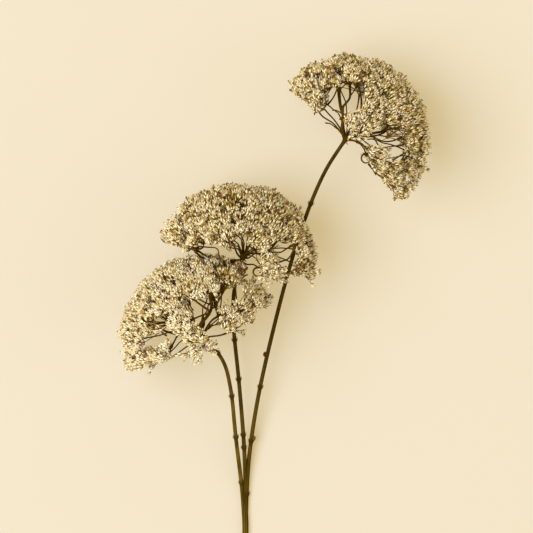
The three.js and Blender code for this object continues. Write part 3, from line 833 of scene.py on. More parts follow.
def turned_form(name, rings, sides):
    """A closed turned form, extruded from ring to ring. rings: (height, radius), in the mesh's units."""
    deselect_all()
    height, radius = rings[0]
    bpy.ops.mesh.primitive_circle_add(
        vertices=sides, radius=radius, fill_type="NGON", location=(0, 0, height)
    )
    form = bpy.context.object
    form.name = name
    bpy.ops.object.transform_apply(location=True)
    set_mode("EDIT", "SELECT")
    for (low, narrow), (high, wide) in zip(rings, rings[1:]):
        bpy.ops.mesh.extrude_region_move(TRANSFORM_OT_translate={"value": (0, 0, high - low)})
        scale = wide / narrow
        bpy.ops.transform.resize(value=(scale, scale, 1), center_override=(0, 0, high))
    bpy.ops.mesh.select_all(action="SELECT")
    bpy.ops.mesh.normals_make_consistent(inside=False)
    set_mode("OBJECT")
    return form


def add_object(name, data):
    """A new object in the scene, with that curve or mesh."""
    piece = bpy.data.objects.new(name, data)
    bpy.context.scene.collection.objects.link(piece)
    return piece


def drawn_strands(name, strands, roundness=0, section=None):
    """Closed tubes along paths, drawn as one curve and made a mesh. strands: (points, radii), in mm."""
    curve = bpy.data.curves.new(name, "CURVE")
    curve.dimensions = "3D"
    curve.use_fill_caps = True
    if section:
        curve.bevel_mode = "OBJECT"
        curve.bevel_object = section
    else:
        curve.bevel_depth = MM
        curve.bevel_resolution = roundness
    for points, radii in strands:
        spline = curve.splines.new("POLY")
        spline.points.add(len(points) - 1)
        spline.points.foreach_set("co", [c for p in points for c in (*(p * MM), 1.0)])
        spline.points.foreach_set("radius", radii)
    select_only(add_object(name, curve))
    bpy.ops.object.convert(target="MESH")
    bpy.ops.object.shade_smooth()
    return bpy.context.object


def spindle(foot, along, shape, size=1):
    """A straight strand whose shape is given as (place along it, radius); the size scales its radii."""
    return [foot + along * rise for rise, _ in shape], [size * radius for _, radius in shape]


def vertex_places(piece):
    """The mesh's vertices as an array, in mm."""
    mesh = piece.data
    places = np.empty(len(mesh.vertices) * 3, np.float32)
    mesh.vertices.foreach_get("co", places)
    return places.reshape(-1, 3) / MM


def settle(piece):
    """Lifts whatever dips below the surface onto it."""
    places = vertex_places(piece)
    places[:, 2] = np.maximum(places[:, 2], 0.0)
    piece.data.vertices.foreach_set("co", (places * MM).ravel())
    piece.data.update()
    return places


def set_attribute(piece, name, values):
    """Gives the mesh a float for each vertex, or one float for all of them."""
    layer = piece.data.attributes.get(name) or piece.data.attributes.new(name, "FLOAT", "POINT")
    layer.data.foreach_set("value", np.full(len(piece.data.vertices), values, np.float32))


def set_material(piece, material):
    """Gives the whole piece that one material."""
    piece.data.materials.clear()
    piece.data.materials.append(material)


def set_outward(piece, umbel):
    """Tells the material how far out from the hub each point is."""
    away = np.linalg.norm(vertex_places(piece) - np.array(umbel.hub), axis=1)
    set_attribute(piece, "outward", np.clip(away / umbel.reach.top, 0, 1))


def place(piece, node):
    """Finishes a piece: puts it on the root body and hides the plain model's node that it stands for."""
    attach(piece, "root")
    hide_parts(node)


# ------------------------------------------------------------------ the stem

RIBS = 9
RIB_DEPTH = 0.07
RIB_FADE = (60, 150)  # the Y between which the ribs darken
RIB_SHADE = 0.5  # how pale the darkened ribs still are
BRANCH_TAPER = 0.16  # how much of its radius a branch has lost at the hub
CROWDED = [-2.2, -1.2, -0.7, -0.3, 0, 0.4, 0.8, 1.6, 2.6]  # where a branch has extra rings, round each joint
BELOW_JOINT, ABOVE_JOINT = 0.5, 1.7  # how far the swelling reaches each way
MAIN_STEP = 4  # between the main stem's rings
TIP_RINGS, TIP_TAPER = 4, 0.08  # the rings that narrow into the fork, and how much each of them does
AHEAD = 5  # how far on from a joint its branch's direction is taken
SCALE_RADII = [0.5, 0.5, 0.42, 0.3, 0.08]
CUT_PALENESS, SCALE_PALENESS = 0.6, 0.45
JOINT_REACH = 3.4  # the dark of a joint fades over this length, from half as far past its middle
SIDE_BUDS = [("top", 152.5, 1, 1.0), ("top", 93, -1, 0.2)]  # the branch, Y, the side, how withered it is
BUD_SHAPE = [  # off the branch's axis, along the branch, and radius
    (0.8, 0.0, 0.6), (1.4, 0.5, 1.05), (1.9, 1.4, 1.25), (2.1, 2.6, 0.9), (2.0, 3.6, 0.1),
]


def ribbed_section(ribs, depth):
    """A closed curve one millimetre in radius with low ribs, to draw a stalk with."""
    section = bpy.data.curves.new("stalk_section", "CURVE")
    spline = section.splines.new("POLY")
    spline.points.add(2 * ribs - 1)
    spline.use_cyclic_u = True
    for i, point in enumerate(spline.points):
        angle = math.pi * (i + 0.5) / ribs
        radius = MM * (1 if i % 2 else 1 - depth)
        point.co = (radius * math.cos(angle), radius * math.sin(angle), 0, 1)
    return add_object("stalk_section", section)


def branch_lengths(umbel):
    """How far along the branch each of its points is."""
    return np.cumsum([0.0] + [(b - a).length for a, b in zip(umbel.branch, umbel.branch[1:])])


def length_at(umbel, y):
    """How far along the branch it reaches that Y."""
    return float(np.interp(y, [point.y for point in umbel.branch], branch_lengths(umbel)))


def along_branch(umbel, length):
    """The point that is so far along a branch."""
    lengths = branch_lengths(umbel)
    return Vector([float(np.interp(length, lengths, [point[k] for point in umbel.branch])) for k in range(3)])


def branch_strand(umbel, settings):
    """A branch's path and its radius along it, swollen at the joints."""
    whole = branch_lengths(umbel)[-1]
    joints = [length_at(umbel, y) for y in umbel.joints]
    crowded = [joint + np.array(CROWDED) for joint in joints]
    places = np.unique(np.concatenate([np.linspace(0, whole, 60), *crowded]))
    swell = np.zeros_like(places)
    for joint in joints:
        past = places - joint
        swell += np.exp(-((past / np.where(past > 0, ABOVE_JOINT, BELOW_JOINT)) ** 2))
    base = settings.branch_radius / MM * (1 - BRANCH_TAPER * places / whole)
    return [along_branch(umbel, p) for p in places], list(base * (1 + (settings.joint_swell - 1) * swell))


class SPRAY_OT_stem(bpy.types.Operator):
    """Draws the main stem and its branches with ribs, swollen joints and scales, as one piece"""

    bl_idname = "spray.stem"
    bl_label = "Stem"

    def execute(self, context):
        settings = context.scene.spray_stalk
        section = ribbed_section(RIBS, RIB_DEPTH)
        branches = [self.stalk(branch_strand(umbel, settings), section, umbel.paleness) for umbel in UMBELS]
        parts = [self.stalk(self.main_strand(settings), section, 1.0), *branches]
        bpy.data.objects.remove(section)
        scales = drawn_strands("scales", list(self.scales()), roundness=1)
        set_attribute(scales, "rib", 1)
        set_attribute(scales, "pale", SCALE_PALENESS)
        buds = [self.side_bud(*seat) for seat in SIDE_BUDS]
        stem = join([*parts, scales, *buds], "ribbed_stem")
        self.shade(stem, settle(stem))
        set_material(stem, stalk_material(settings))
        place(stem, "stem")
        return {"FINISHED"}

    def main_strand(self, settings):
        """The main stem's path and its radius along it, narrower where it forks."""
        count = 1 + (FORK_Y - CUT_END_Y) // MAIN_STEP
        narrowing = [0] * (count - TIP_RINGS) + [TIP_TAPER * i for i in range(1, TIP_RINGS + 1)]
        path = [Vector((0, CUT_END_Y + i * MAIN_STEP, MAIN_HEIGHT)) for i in range(count)]
        return path, [settings.main_radius / MM * (1 - share) for share in narrowing]

    def stalk(self, strand, section, paleness):
        """One stalk, whose ribs are paler than its grooves and darken towards its upper end."""
        stalk = drawn_strands("stalk", [strand], section=section)
        height = vertex_places(stalk)[:, 1]
        fade = np.interp(height, RIB_FADE, (1.0, RIB_SHADE))
        set_attribute(stalk, "rib", np.arange(len(stalk.data.vertices)) % 2 * fade * paleness)
        set_attribute(stalk, "pale", np.where(height < CUT_END_Y + 0.2, CUT_PALENESS, 0.0))
        return stalk

    def scales(self):
        """Small dry sheaths at the joints."""
        for name, y in [(umbel.name, y) for umbel in UMBELS for y in umbel.joints]:
            foot, along = self.foot_at(name, y)
            for sign, length in ((1, 2.6), (-1, 2.0)):
                aside = along.cross(UP) * sign
                bend = foot + aside * 2.2 + along * length * 0.3
                tip = foot + aside * 2.1 + along * length
                yield bezier(foot + aside * 1.1 - along, bend, tip, steps=4), SCALE_RADII

    def side_bud(self, name, y, side, withered):
        """A bud in a joint's corner that never opened."""
        foot, along = self.foot_at(name, y)
        out = along.cross(UP) * -side
        path = [foot + out * aside + along * rise for aside, rise, _ in BUD_SHAPE]
        bud = drawn_strands("side_bud", [(path, [radius for _, _, radius in BUD_SHAPE])], roundness=1)
        set_attribute(bud, "rib", 1)
        set_attribute(bud, "withered", withered)
        return bud

    def foot_at(self, name, y):
        """The point of a branch's axis at that Y, and which way the branch runs there."""
        umbel = next(umbel for umbel in UMBELS if umbel.name == name)
        length = length_at(umbel, y)
        foot = along_branch(umbel, length)
        return foot, (along_branch(umbel, length + AHEAD) - foot).normalized()

    def shade(self, stem, places):
        """Marks the joints for the material."""
        joints = [along_branch(umbel, length_at(umbel, y))[:] for umbel in UMBELS for y in umbel.joints]
        nearest = np.min(np.linalg.norm(places[:, None] - np.array(joints), axis=2), axis=1)
        set_attribute(stem, "joint", np.clip(1.5 - nearest / JOINT_REACH, 0, 1))


# ------------------------------------------------------------------ the rays

BRACTS = 4  # round each knot
BRACT_TAPER = (1, 0.9, 0.7, 0.45, 0.1)
RAY_WAVER = 2.2
SIDE_WAIST = 0.3  # how much thinner a side ray is halfway
CURL_STEPS, CURL_RISE = 16, 0.12  # of a curl, and how much it climbs at each step
CURLS = [  # the ringed rays: umbel, middle over the hub, radius, height over the hub, first and last angle
    ("top", (14.3, -13.2), 3.3, 8, 50, 330),
    ("middle", (10.2, -10.2), 3.0, 8, 70, 300),
]


def bracts(foot, axis, draw, length, radius):
    """Small pointed leaves round a knot, bent back and away from it, as strands."""
    for i in range(BRACTS):
        out = tilted(axis, math.radians(draw.uniform(75, 120)), i * GOLDEN_TURN + draw.random())
        size = length * draw.uniform(0.7, 1.2)
        bend = foot + out * size * 0.6 + axis * size * draw.uniform(-0.1, 0.3)
        tip = above_surface(foot + out * size + axis * size * draw.uniform(-0.5, 0.6), margin=0.2)
        yield bezier(foot, bend, tip, steps=4), [radius * share for share in BRACT_TAPER]


class SPRAY_OT_rays(bpy.types.Operator):
    """Draws the hub, the arching rays, the curls and the bracts of each umbel"""

    bl_idname = "spray.rays"
    bl_label = "Rays"

    def execute(self, context):
        settings = context.scene.spray_rays
        material = ray_material(settings)
        for umbel in UMBELS:
            draw = random.Random(umbel.seed)
            strands = [*self.dome_rays(umbel, settings), *self.side_rays(umbel), *self.curls(umbel)]
            strands += bracts(umbel.hub - umbel.axis, umbel.axis, draw, length=3.5, radius=0.45)
            name = f"fine_rays_{umbel.name}"
            piece = join([drawn_strands(name, strands, roundness=1), self.hub(umbel)], name)
            settle(piece)
            set_outward(piece, umbel)
            set_material(piece, material)
            place(piece, f"rays_{umbel.name}")
        return {"FINISHED"}

    def dome_rays(self, umbel, settings):
        """One ray for each umbellet, swollen at both ends."""
        thick = settings.ray_radius / MM
        for i, umbellet in enumerate(umbel.umbellets):
            points = wavering(umbellet.ray, RAY_WAVER, umbel.seed + i)
            last = len(points) - 1
            shares = [0.72 + 0.45 * math.exp(-k / 2) + 0.25 * math.exp(k - last) for k in range(last + 1)]
            yield points, [thick * share for share in shares]

    def side_rays(self, umbel):
        """Bowed rays that lie across the view, thickest where they part from the others."""
        for radius, path in umbel.side_paths:
            last = len(path) - 1
            waist = [SIDE_WAIST * math.sin(math.pi * i / last) for i in range(last + 1)]
            yield path, [radius * (1 - share) for share in waist]

    def curls(self, umbel):
        """A ray that dried into a ring."""
        for name, (x, y), radius, height, first, last in CURLS:
            if name == umbel.name:
                middle = umbel.hub + Vector((x, y, height))
                path = []
                for i in range(CURL_STEPS + 1):
                    angle = math.radians(first + (last - first) * i / CURL_STEPS)
                    out = Vector((math.cos(angle), math.sin(angle), 0))
                    path.append(middle + out * radius + Vector((0, 0, CURL_RISE * i)))
                yield path, [0.75 - 0.015 * i for i in range(len(path))]

    def hub(self, umbel):
        """The swelling that the rays spring from."""
        along = (umbel.branch[-1] - umbel.branch[-2]).normalized()
        half = HUB_LENGTH / 2
        rings = [(-half - 1, 1.25), (-half * 0.4, 1.5), (0.2, 2.3), (1.6, 2.5), (half, 1.4)]
        hub = turned_form("hub", [(z * MM, r * MM) for z, r in rings], sides=12)
        upright = along.to_track_quat("Z", "Y").to_matrix().to_4x4()
        hub.matrix_world = Matrix.Translation(umbel.hub * MM) @ upright
        apply_place(hub)
        bpy.ops.object.shade_smooth()
        return hub


# ------------------------------------------------------------------ the buds

STALK_SHARE = 0.3  # of a bud's colours, run over its stalk
OPEN_SHARE = 0.5  # of them, run over an open floret
STUB_RADIUS = 0.56  # a side ray no thicker than this ends bare
CLUSTER_REACH = 6.6  # from a cluster's knot to its buds' tips, in mm
CLUSTER_SPREAD = math.radians(64)
CROWN_HEIGHT = 35  # a ray's end higher than this has a cluster over its own knot
CLOSED, SPLIT, OPEN = range(3)  # the forms of a bud
BUD_LENGTHS, BUD_RADII = (0.75, 1.15), (0.8, 1.15)  # as shares of the plain bud's
OPEN_LENGTH = 0.55  # of an open floret, as a share of a closed bud's
OPEN_RADIUS = 1.2
OPEN_DARKNESS = 0.55
PETALS = ((52, 1.6), (74, 1.4), (60, 1.75), (40, 1.45), (68, 1.65))  # spread in degrees, and length
FRINGE = 1.5  # how far single buds stick out of a mass's edge, on average
INSET = 1.2  # how far within its outline that edge lies
KNOT_SHAPE = [(0.3, 0.75), (1.1, 1.15), (2.2, 1.4), (3.4, 1.2), (4.6, 0.7)]  # past the ray's end, and radius
SPRAY_SHAPE = [(-1.6, 0.8), (-0.4, 1.35), (0.8, 1.5), (2.0, 0.9)]  # likewise, with the radius as a share
SPRAY_TURNS = (-38, -14, 8, 32)  # of a side ray's twigs, in degrees
STEM_ROOM = 3.2  # how near to a branch no bud stands
FEWEST_BUDS = 3  # a cluster with fewer is left out
THINNED = 0.6  # the share of buds that a thin spot lacks
CLUSTER_SIZES = (0.82, 1.12)
TWIG_WAVER = 1.0
TWIG_BEND = 0.45  # how far along a twig it bends
LEAST_ROOM = 0.3  # how far out a cluster's knot lies at least, as a share of its room
FULLNESS = (0.95, 1.0)  # how much of its room an umbellet fills
CLUSTER_DEPTHS = (-7.5, 0.6)  # how far under or over the dome a cluster may lie, before the rim evens it out
RIM_EVENNESS = 0.82
LOW_CLUSTER = -0.35  # a cluster that faces further down than this has fewer buds
UNDERSIDE = 0.6
INNER, STICKING_OUT = 0.1, 0.05  # the shares of a cluster's buds that stand within it and that stick out
INNER_TILTS, INNER_REACHES = (15, 50), (0.6, 0.9)
EXTRA_REACHES = (0.6, 2.0)  # of those that stick out
REACH_SCATTER, REACH_LOSS = 1.1, 0.1  # how far a bud lags behind, and what the outermost lack as a share
DRAWN_BACK = (1, 0.9, 0.8, 0.7, 0.6)  # the shares of a bud's reach that are tried in turn
OUTWARD_LEAN, AXIS_LEAN, STRAY_LEAN = 0.7, 0.6, 0.18  # what is added to a bud's own way from its knot
CLUMP_SHADE, RIM_CLUMP_SHADE = (0.3, 1.6), (0.85, 0.4)  # darkness of a cluster's middle, and what its edge adds as painted shade in the clefts between clusters: within the umbel and at its rim
RAGGED_GRAIN, RAGGED_DEPTH = 7, 3.4  # how fine and how deep the notches of the masses' edges are
PATCH_GRAIN = 0.18
PATCH_DEPTH, RIM_PATCH_LOSS = 0.6, 0.45  # how far patches change the tint, and how much less at the rim
# How far the dull spots lower a bud's tint: partly its own dull tone, partly painted shade.
DULLNESS_AND_SHADE = 0.25
RIPE_AGE, WITHERED_AGE = 0.97, 0.992  # most buds are between nought and one old
EARLY_AGE = 0.5  # how much older they are in a withered spot


def form_arrays(form):
    """A modelled form's corners and faces as arrays, and the form is then removed."""
    mesh = form.data
    places = np.array([v.co[:] for v in mesh.vertices], np.float32)
    faces = [list(f.vertices) for f in mesh.polygons]
    bpy.data.objects.remove(form)
    bpy.data.meshes.remove(mesh)
    return places, faces


def closed_bud():
    """A closed bud on its stalk. The stalk runs from -1 to 0 along Z and the bud from 0 to 1."""
    rings = [(-1, 0.2), (0.0, 0.42), (0.5, 1.0), (1.0, 0.2)]
    return form_arrays(turned_form("closed_bud", rings, sides=5))


def split_bud():
    """A bud whose petals have parted: six points, three of them higher, that stand up round a hollow."""
    rim = 0.8
    form = turned_form("split_bud", [(-1, 0.2), (0.0, 0.42), (rim, 1.15), (0.5, 0.4)], sides=6)
    select_only(form)
    set_mode("EDIT", "DESELECT")
    set_mode("OBJECT")
    for vertex in form.data.vertices:
        sixth = round(math.atan2(vertex.co.y, vertex.co.x) / (math.pi / 3))
        vertex.select = abs(vertex.co.z - rim) < 0.01 and sixth % 2 == 0
    set_mode("EDIT")
    bpy.ops.mesh.select_mode(type="VERT")
    bpy.ops.transform.translate(value=(0, 0, 0.3))
    set_mode("OBJECT")
    return form_arrays(form)


def open_floret():
    """An opened floret on its stalk: a short cup and five dry petals, spread unevenly and widest outside."""
    cup = turned_form("open_floret", [(-1, 0.16), (0.0, 0.3), (0.4, 0.62)], sides=4)
    petals = []
    for i, (spread, length) in enumerate(PETALS):
        petal = turned_form("petal", [(0, 0.3), (1, 0.85)], sides=3)
        petal.matrix_world = (
            Matrix.Rotation(i * 2 * math.pi / len(PETALS), 4, "Z")
            @ Matrix.Translation((0.35, 0, 0.25))
            @ Matrix.Rotation(math.radians(spread), 4, "Y")
            @ Matrix.Diagonal((0.35, 1.0, length, 1))
        )
        apply_place(petal)
        petals.append(petal)
    return form_arrays(join([cup, *petals], "open_floret"))


@dataclass
class Bud:
    """One bud to be placed: its stalk's foot, its own base and direction, and its sizes in mm."""

    foot: Vector
    base: Vector
    direction: Vector
    length: float
    radius: float
    spin: float
    tint: float
    ripe: float
    form: int


def copies(name, form, buds, body_share):
    """One mesh with a copy of the form for each bud, whose body runs over that share of a bud's colours."""
    places, faces = form
    count, corners = len(buds), len(places)
    direction, foot, base = (
        np.array([getattr(bud, key)[:] for bud in buds]) for key in ("direction", "foot", "base")
    )
    helper = np.where(np.abs(direction[:, 2:]) < 0.9, [[0.0, 0.0, 1.0]], [[1.0, 0.0, 0.0]])
    side = np.cross(direction, helper)
    side /= np.linalg.norm(side, axis=1, keepdims=True)
    other = np.cross(direction, side)
    spin, length, radius = (
        np.array([getattr(bud, key) for bud in buds])[:, None] for key in ("spin", "length", "radius")
    )
    across = np.cos(spin) * side + np.sin(spin) * other
    around = np.cross(direction, across)
    length, radius = length[:, None], radius[:, None]
    x, y, z = (places[None, :, k, None] for k in range(3))
    stalk = base[:, None] + (foot - base)[:, None] * -z
    body = base[:, None] + direction[:, None] * z * length
    world = np.where(z < 0, stalk, body) + across[:, None] * x * radius + around[:, None] * y * radius
    mesh = bpy.data.meshes.new(name)
    sizes = np.tile([len(f) for f in faces], count)
    flat = np.array([v for f in faces for v in f])
    loops = (flat[None] + (np.arange(count) * corners)[:, None]).ravel()
    mesh.vertices.add(count * corners)
    mesh.vertices.foreach_set("co", (world * MM).astype(np.float32).ravel())
    mesh.loops.add(len(loops))
    mesh.loops.foreach_set("vertex_index", loops)
    mesh.polygons.add(len(sizes))
    mesh.polygons.foreach_set("loop_start", np.concatenate([[0], np.cumsum(sizes)[:-1]]))
    mesh.update(calc_edges=True)
    piece = add_object(name, mesh)
    z = places[:, 2]
    share = np.where(z < 0, STALK_SHARE * (1 + z), STALK_SHARE + body_share * np.minimum(z, 1))
    set_attribute(piece, "along", np.tile(share, count))
    for key in ("tint", "ripe"):
        set_attribute(piece, key, np.repeat([getattr(bud, key) for bud in buds], corners))
    return piece


def stem_tree():
    """The branches' points, to keep buds off them."""
    points = [p for umbel in UMBELS for p in umbel.branch]
    tree = kdtree.KDTree(len(points))
    for i, point in enumerate(points):
        tree.insert(point, i)
    tree.balance()
    return tree


class SPRAY_OT_umbellets(bpy.types.Operator):
    """Grows the knot, the twigs and the buds of each umbellet"""

    bl_idname = "spray.umbellets"
    bl_label = "Umbellets"

    def execute(self, context):
        self.settings = context.scene.spray_buds
        self.rays = context.scene.spray_rays
        self.tree = stem_tree()
        self.forms = (
            ("closed_bud", closed_bud(), 1 - STALK_SHARE),
            ("split_bud", split_bud(), 1 - STALK_SHARE),
            ("open_floret", open_floret(), OPEN_SHARE),
        )
        self.bud_finish = bud_material(self.settings, self.rays)
        self.ray_finish = bpy.data.materials["dry_ray"]
        for umbel in UMBELS:
            self.draw = random.Random(umbel.seed)
            for umbellet in umbel.umbellets:
                self.plan(umbel, umbellet)
                piece = self.model(f"fine_{umbellet.name}")
                settle(piece)
                set_outward(piece, umbel)
                place(piece, umbellet.name)
        return {"FINISHED"}

    def plan(self, umbel, umbellet):
        """Finds the twigs and buds of an umbellet and of the side rays that end nearest to it."""
        self.strands = list(self.knot(umbellet))
        self.buds = []
        self.fullness = OVERREACH * self.draw.uniform(*FULLNESS)
        for tuft in umbellet.tufts:
            self.grow(umbel, tuft)
        self.crown(umbel, umbellet)
        for radius, path in umbel.side_paths:
            if radius > STUB_RADIUS and umbellet is umbel.nearest_umbellet(path[-1]):
                self.spray(umbel, path, radius)

    def model(self, name):
        """Makes one piece of the twigs and buds."""
        parts = [drawn_strands(name, self.strands)]
        set_material(parts[0], self.ray_finish)
        for k, (form_name, form, body_share) in enumerate(self.forms):
            buds = [bud for bud in self.buds if bud.form == k]
            if buds:
                parts.append(copies(form_name, form, buds, body_share))
                set_material(parts[-1], self.bud_finish)
        piece = join(parts, name)
        bpy.ops.object.shade_smooth()
        return piece

    def knot(self, umbellet):
        """The swollen end of a ray, with its small bracts."""
        end = umbellet.ray[-1]
        along = (end - umbellet.ray[-2]).normalized()
        yield spindle(end, along, KNOT_SHAPE)
        yield from bracts(end + along * 2, along, self.draw, length=4.5, radius=0.3)

    def grow(self, umbel, tuft):
        """Adds a tuft's twigs and buds, cluster by cluster."""
        draw = self.draw
        if tuft.stalk:
            self.strands.append((tuft.stalk, [0.5] * (len(tuft.stalk) - 2) + [0.65, 0.8]))
        spin = draw.uniform(0, 2 * math.pi)
        for k in range(self.settings.clusters):
            tilt = math.radians(tuft.spread) * math.sqrt((k + 0.5) / self.settings.clusters)
            facing = tilted(tuft.outward, tilt * draw.uniform(0.9, 1.08), spin + k * GOLDEN_TURN)
            room = min(umbel.room_to_dome(tuft.heart, facing) * self.fullness, tuft.room)
            evenness = RIM_EVENNESS * umbel.rim_share(tuft.heart + facing * room)
            depth = draw.uniform(*CLUSTER_DEPTHS) * (1 - evenness)
            knot = tuft.heart + facing * max(room - CLUSTER_REACH + depth, LEAST_ROOM * room)
            self.cluster(umbel, tuft.foot, above_surface(knot, margin=0.5), facing, seed=k)

    def crown(self, umbel, umbellet):
        """Adds a cluster right over the ray's own knot."""
        foot = umbellet.tufts[0].foot
        facing = (umbellet.direction * 0.5 + UP).normalized()
        if foot.z > CROWN_HEIGHT:
            self.cluster(umbel, foot, foot + facing * 1.5, facing, seed=0)

    def cluster(self, umbel, foot, knot, facing, seed):
        """Adds a twig from a tuft's foot to a cluster's knot, and its buds, if a few of them have room."""
        thick = self.rays.twig_radius / MM
        bend = above_surface(foot.lerp(knot, TWIG_BEND) + facing * self.draw.uniform(0.0, 1.5), margin=0.4)
        path = wavering(bezier(foot, bend, knot, steps=6), TWIG_WAVER, umbel.seed + seed)
        if umbel.in_gap(path[4]) or umbel.in_gap(path[-1]):
            return
        grown = len(self.buds)
        self.fill(umbel, knot, facing)
        if len(self.buds) >= grown + FEWEST_BUDS:
            self.strands.append((path, [thick * (1.2 - 0.07 * i) for i in range(len(path))]))
        else:
            del self.buds[grown:]

    def spray(self, umbel, path, radius):
        """Parts a side ray's knotted end into four loose twigs, each with two to four buds."""
        draw = self.draw
        foot = path[-1]
        along = (foot - path[-2]).normalized()
        self.strands.append(spindle(foot, along, SPRAY_SHAPE, radius))
        for turn in SPRAY_TURNS:
            fanned = Quaternion(UP, math.radians(turn)) @ along
            way = tilted(fanned, draw.uniform(0, 0.3), draw.uniform(0, 6))
            end = above_surface(foot + way * draw.uniform(4.0, 8.0), margin=0.8)
            bend = above_surface(foot + along * 2.0 + way * 1.5, margin=0.6)
            twig = bezier(foot, bend, end, steps=4)
            self.strands.append((twig, [radius * (0.6 - 0.08 * i) for i in range(len(twig))]))
            for _ in range(draw.choice((2, 3, 4))):
                aim = tilted(way, draw.uniform(0.1, 0.7), draw.uniform(0, 2 * math.pi))
                tip = above_surface(end + aim * draw.uniform(3.0, 5.0), margin=1.0)
                form = draw.choice((CLOSED, CLOSED, OPEN))
                self.buds.append(self.bud(umbel, end, tip, aim, form, darkness=1.0))

    def bud(self, umbel, foot, tip, aim, form, darkness):
        """One bud with a size, a turn and a tint of its own, paler and duller by patches, and duller in the
        dull spots, which in part are painted shade.
        """
        draw = self.draw
        length = self.settings.length / MM * draw.uniform(*BUD_LENGTHS) * (OPEN_LENGTH if form == OPEN else 1)
        radius = self.settings.radius / MM * draw.uniform(*BUD_RADII) * (OPEN_RADIUS if form == OPEN else 1)
        base = above_surface(tip - aim * length, margin=0.8)
        age = draw.random() + (EARLY_AGE if umbel.is_near(tip, umbel.withered) else 0)
        patch = noise.noise(tip * PATCH_GRAIN) * (PATCH_DEPTH - RIM_PATCH_LOSS * umbel.rim_share(tip))
        # In the dull spots the tint drops: the buds' own dull tone, and painted shade where one umbel hangs
        # over another.
        patch -= DULLNESS_AND_SHADE if umbel.is_near(tip, umbel.dull) else 0
        return Bud(
            foot=foot,
            base=base,
            direction=(tip - base).normalized(),
            length=(tip - base).length,
            radius=radius,
            spin=draw.uniform(0, 2 * math.pi),
            tint=min(max(draw.random() ** darkness + patch, 0.0), 1.0),
            ripe=0.0 if age < RIPE_AGE else (0.5 if age < WITHERED_AGE else 1.0),
            form=form,
        )

    def tip_in_mass(self, umbel, knot, direction, reach):
        """Where a bud's tip stands: drawn back towards its knot until it's in a mass, or nowhere."""
        ragged = noise.noise_vector(direction * RAGGED_GRAIN + knot) * RAGGED_DEPTH
        fringe = umbel.offset(knot).normalized() * (self.draw.expovariate(1 / FRINGE) - INSET)
        for share in DRAWN_BACK:
            tip = above_surface(knot + direction * reach * share, margin=1.0)
            if umbel.shows(tip + ragged, fringe):
                return tip
        return None

    def fill(self, umbel, knot, facing):
        """Adds one cluster's buds, whose tips make a small rough dome of their own."""
        draw = self.draw
        turn = draw.uniform(0, 2 * math.pi)
        size = draw.uniform(*CLUSTER_SIZES)
        count = round(self.settings.buds * size**2 * (1 if facing.z > LOW_CLUSTER else UNDERSIDE))
        for i in range(count):
            share = (i + 0.5) / count
            inner = draw.random() < INNER
            tilt = CLUSTER_SPREAD * math.sqrt(share) * draw.uniform(0.85, 1.12)
            if inner:
                tilt += math.radians(draw.uniform(*INNER_TILTS))
            direction = tilted(facing, tilt, turn + i * GOLDEN_TURN + draw.uniform(-0.3, 0.3))
            reach = CLUSTER_REACH * size * (1 - REACH_LOSS * share) - abs(draw.gauss(0, REACH_SCATTER))
            if inner:
                reach *= draw.uniform(*INNER_REACHES)
            elif draw.random() < STICKING_OUT:
                reach += draw.uniform(*EXTRA_REACHES)
            tip = self.tip_in_mass(umbel, knot, direction, reach)
            if tip is None or self.tree.find(tip)[2] < STEM_ROOM:
                continue
            if umbel.is_near(tip, umbel.thin) and draw.random() < THINNED:
                continue
            lying = 1 - abs(direction.z)
            weights = (2.5 + 3 * lying, 3, 3 if inner else 1.6 - lying)
            form = draw.choices((CLOSED, SPLIT, OPEN), weights)[0]
            # Painted shade: buds near a cluster's edge get darker tints.
            darkness = self.darkness(umbel, tip, share) * (OPEN_DARKNESS if form == OPEN else 1)
            self.buds.append(self.bud(umbel, knot, tip, self.aim(umbel, knot, tip), form, darkness))

    def aim(self, umbel, knot, tip):
        """Which way a bud leans: from its knot, and also outwards and along the umbel's axis."""
        away = umbel.offset(tip).normalized()
        astray = Vector([self.draw.gauss(0, 1) for _ in range(3)])
        leaning = (tip - knot).normalized() + away * OUTWARD_LEAN + umbel.axis * AXIS_LEAN
        return (leaning + astray * STRAY_LEAN).normalized()

    def darkness(self, umbel, tip, share):
        """How dark a bud is so far out in its cluster: the umbel's own tone, with painted shade in the clefts
        towards each cluster's edge, clumped within the umbel and more even at its rim.
        """
        rim = umbel.rim_share(tip)
        within, outside = (middle + edge * share**2 for middle, edge in (CLUMP_SHADE, RIM_CLUMP_SHADE))
        return umbel.darkness * (within * (1 - rim) + outside * rim)


# ------------------------------------------------------------------ the stage

FLOOR_SIZE = 8
LIT_PLACE = Vector((0.0, 0.22, 0.02))
LIGHT_DISTANCE = 5
LIGHT_SIZE = 4.0
KEY_WAY, FILL_WAY = (180, 60), (-10, 22)  # where each light stands: turned from +X and above the floor
KEY_COLOUR, FILL_COLOUR, SKY_COLOUR = (1.0, 0.975, 0.9), (1.0, 0.93, 0.76), (1.0, 0.86, 0.56)
VIEW_WIDTH = 373.1 * MM
VIEW_MIDDLE = Vector((15.05 * MM, 216.55 * MM, 0.042))  # as high as the umbels' middles
SENSOR = 36


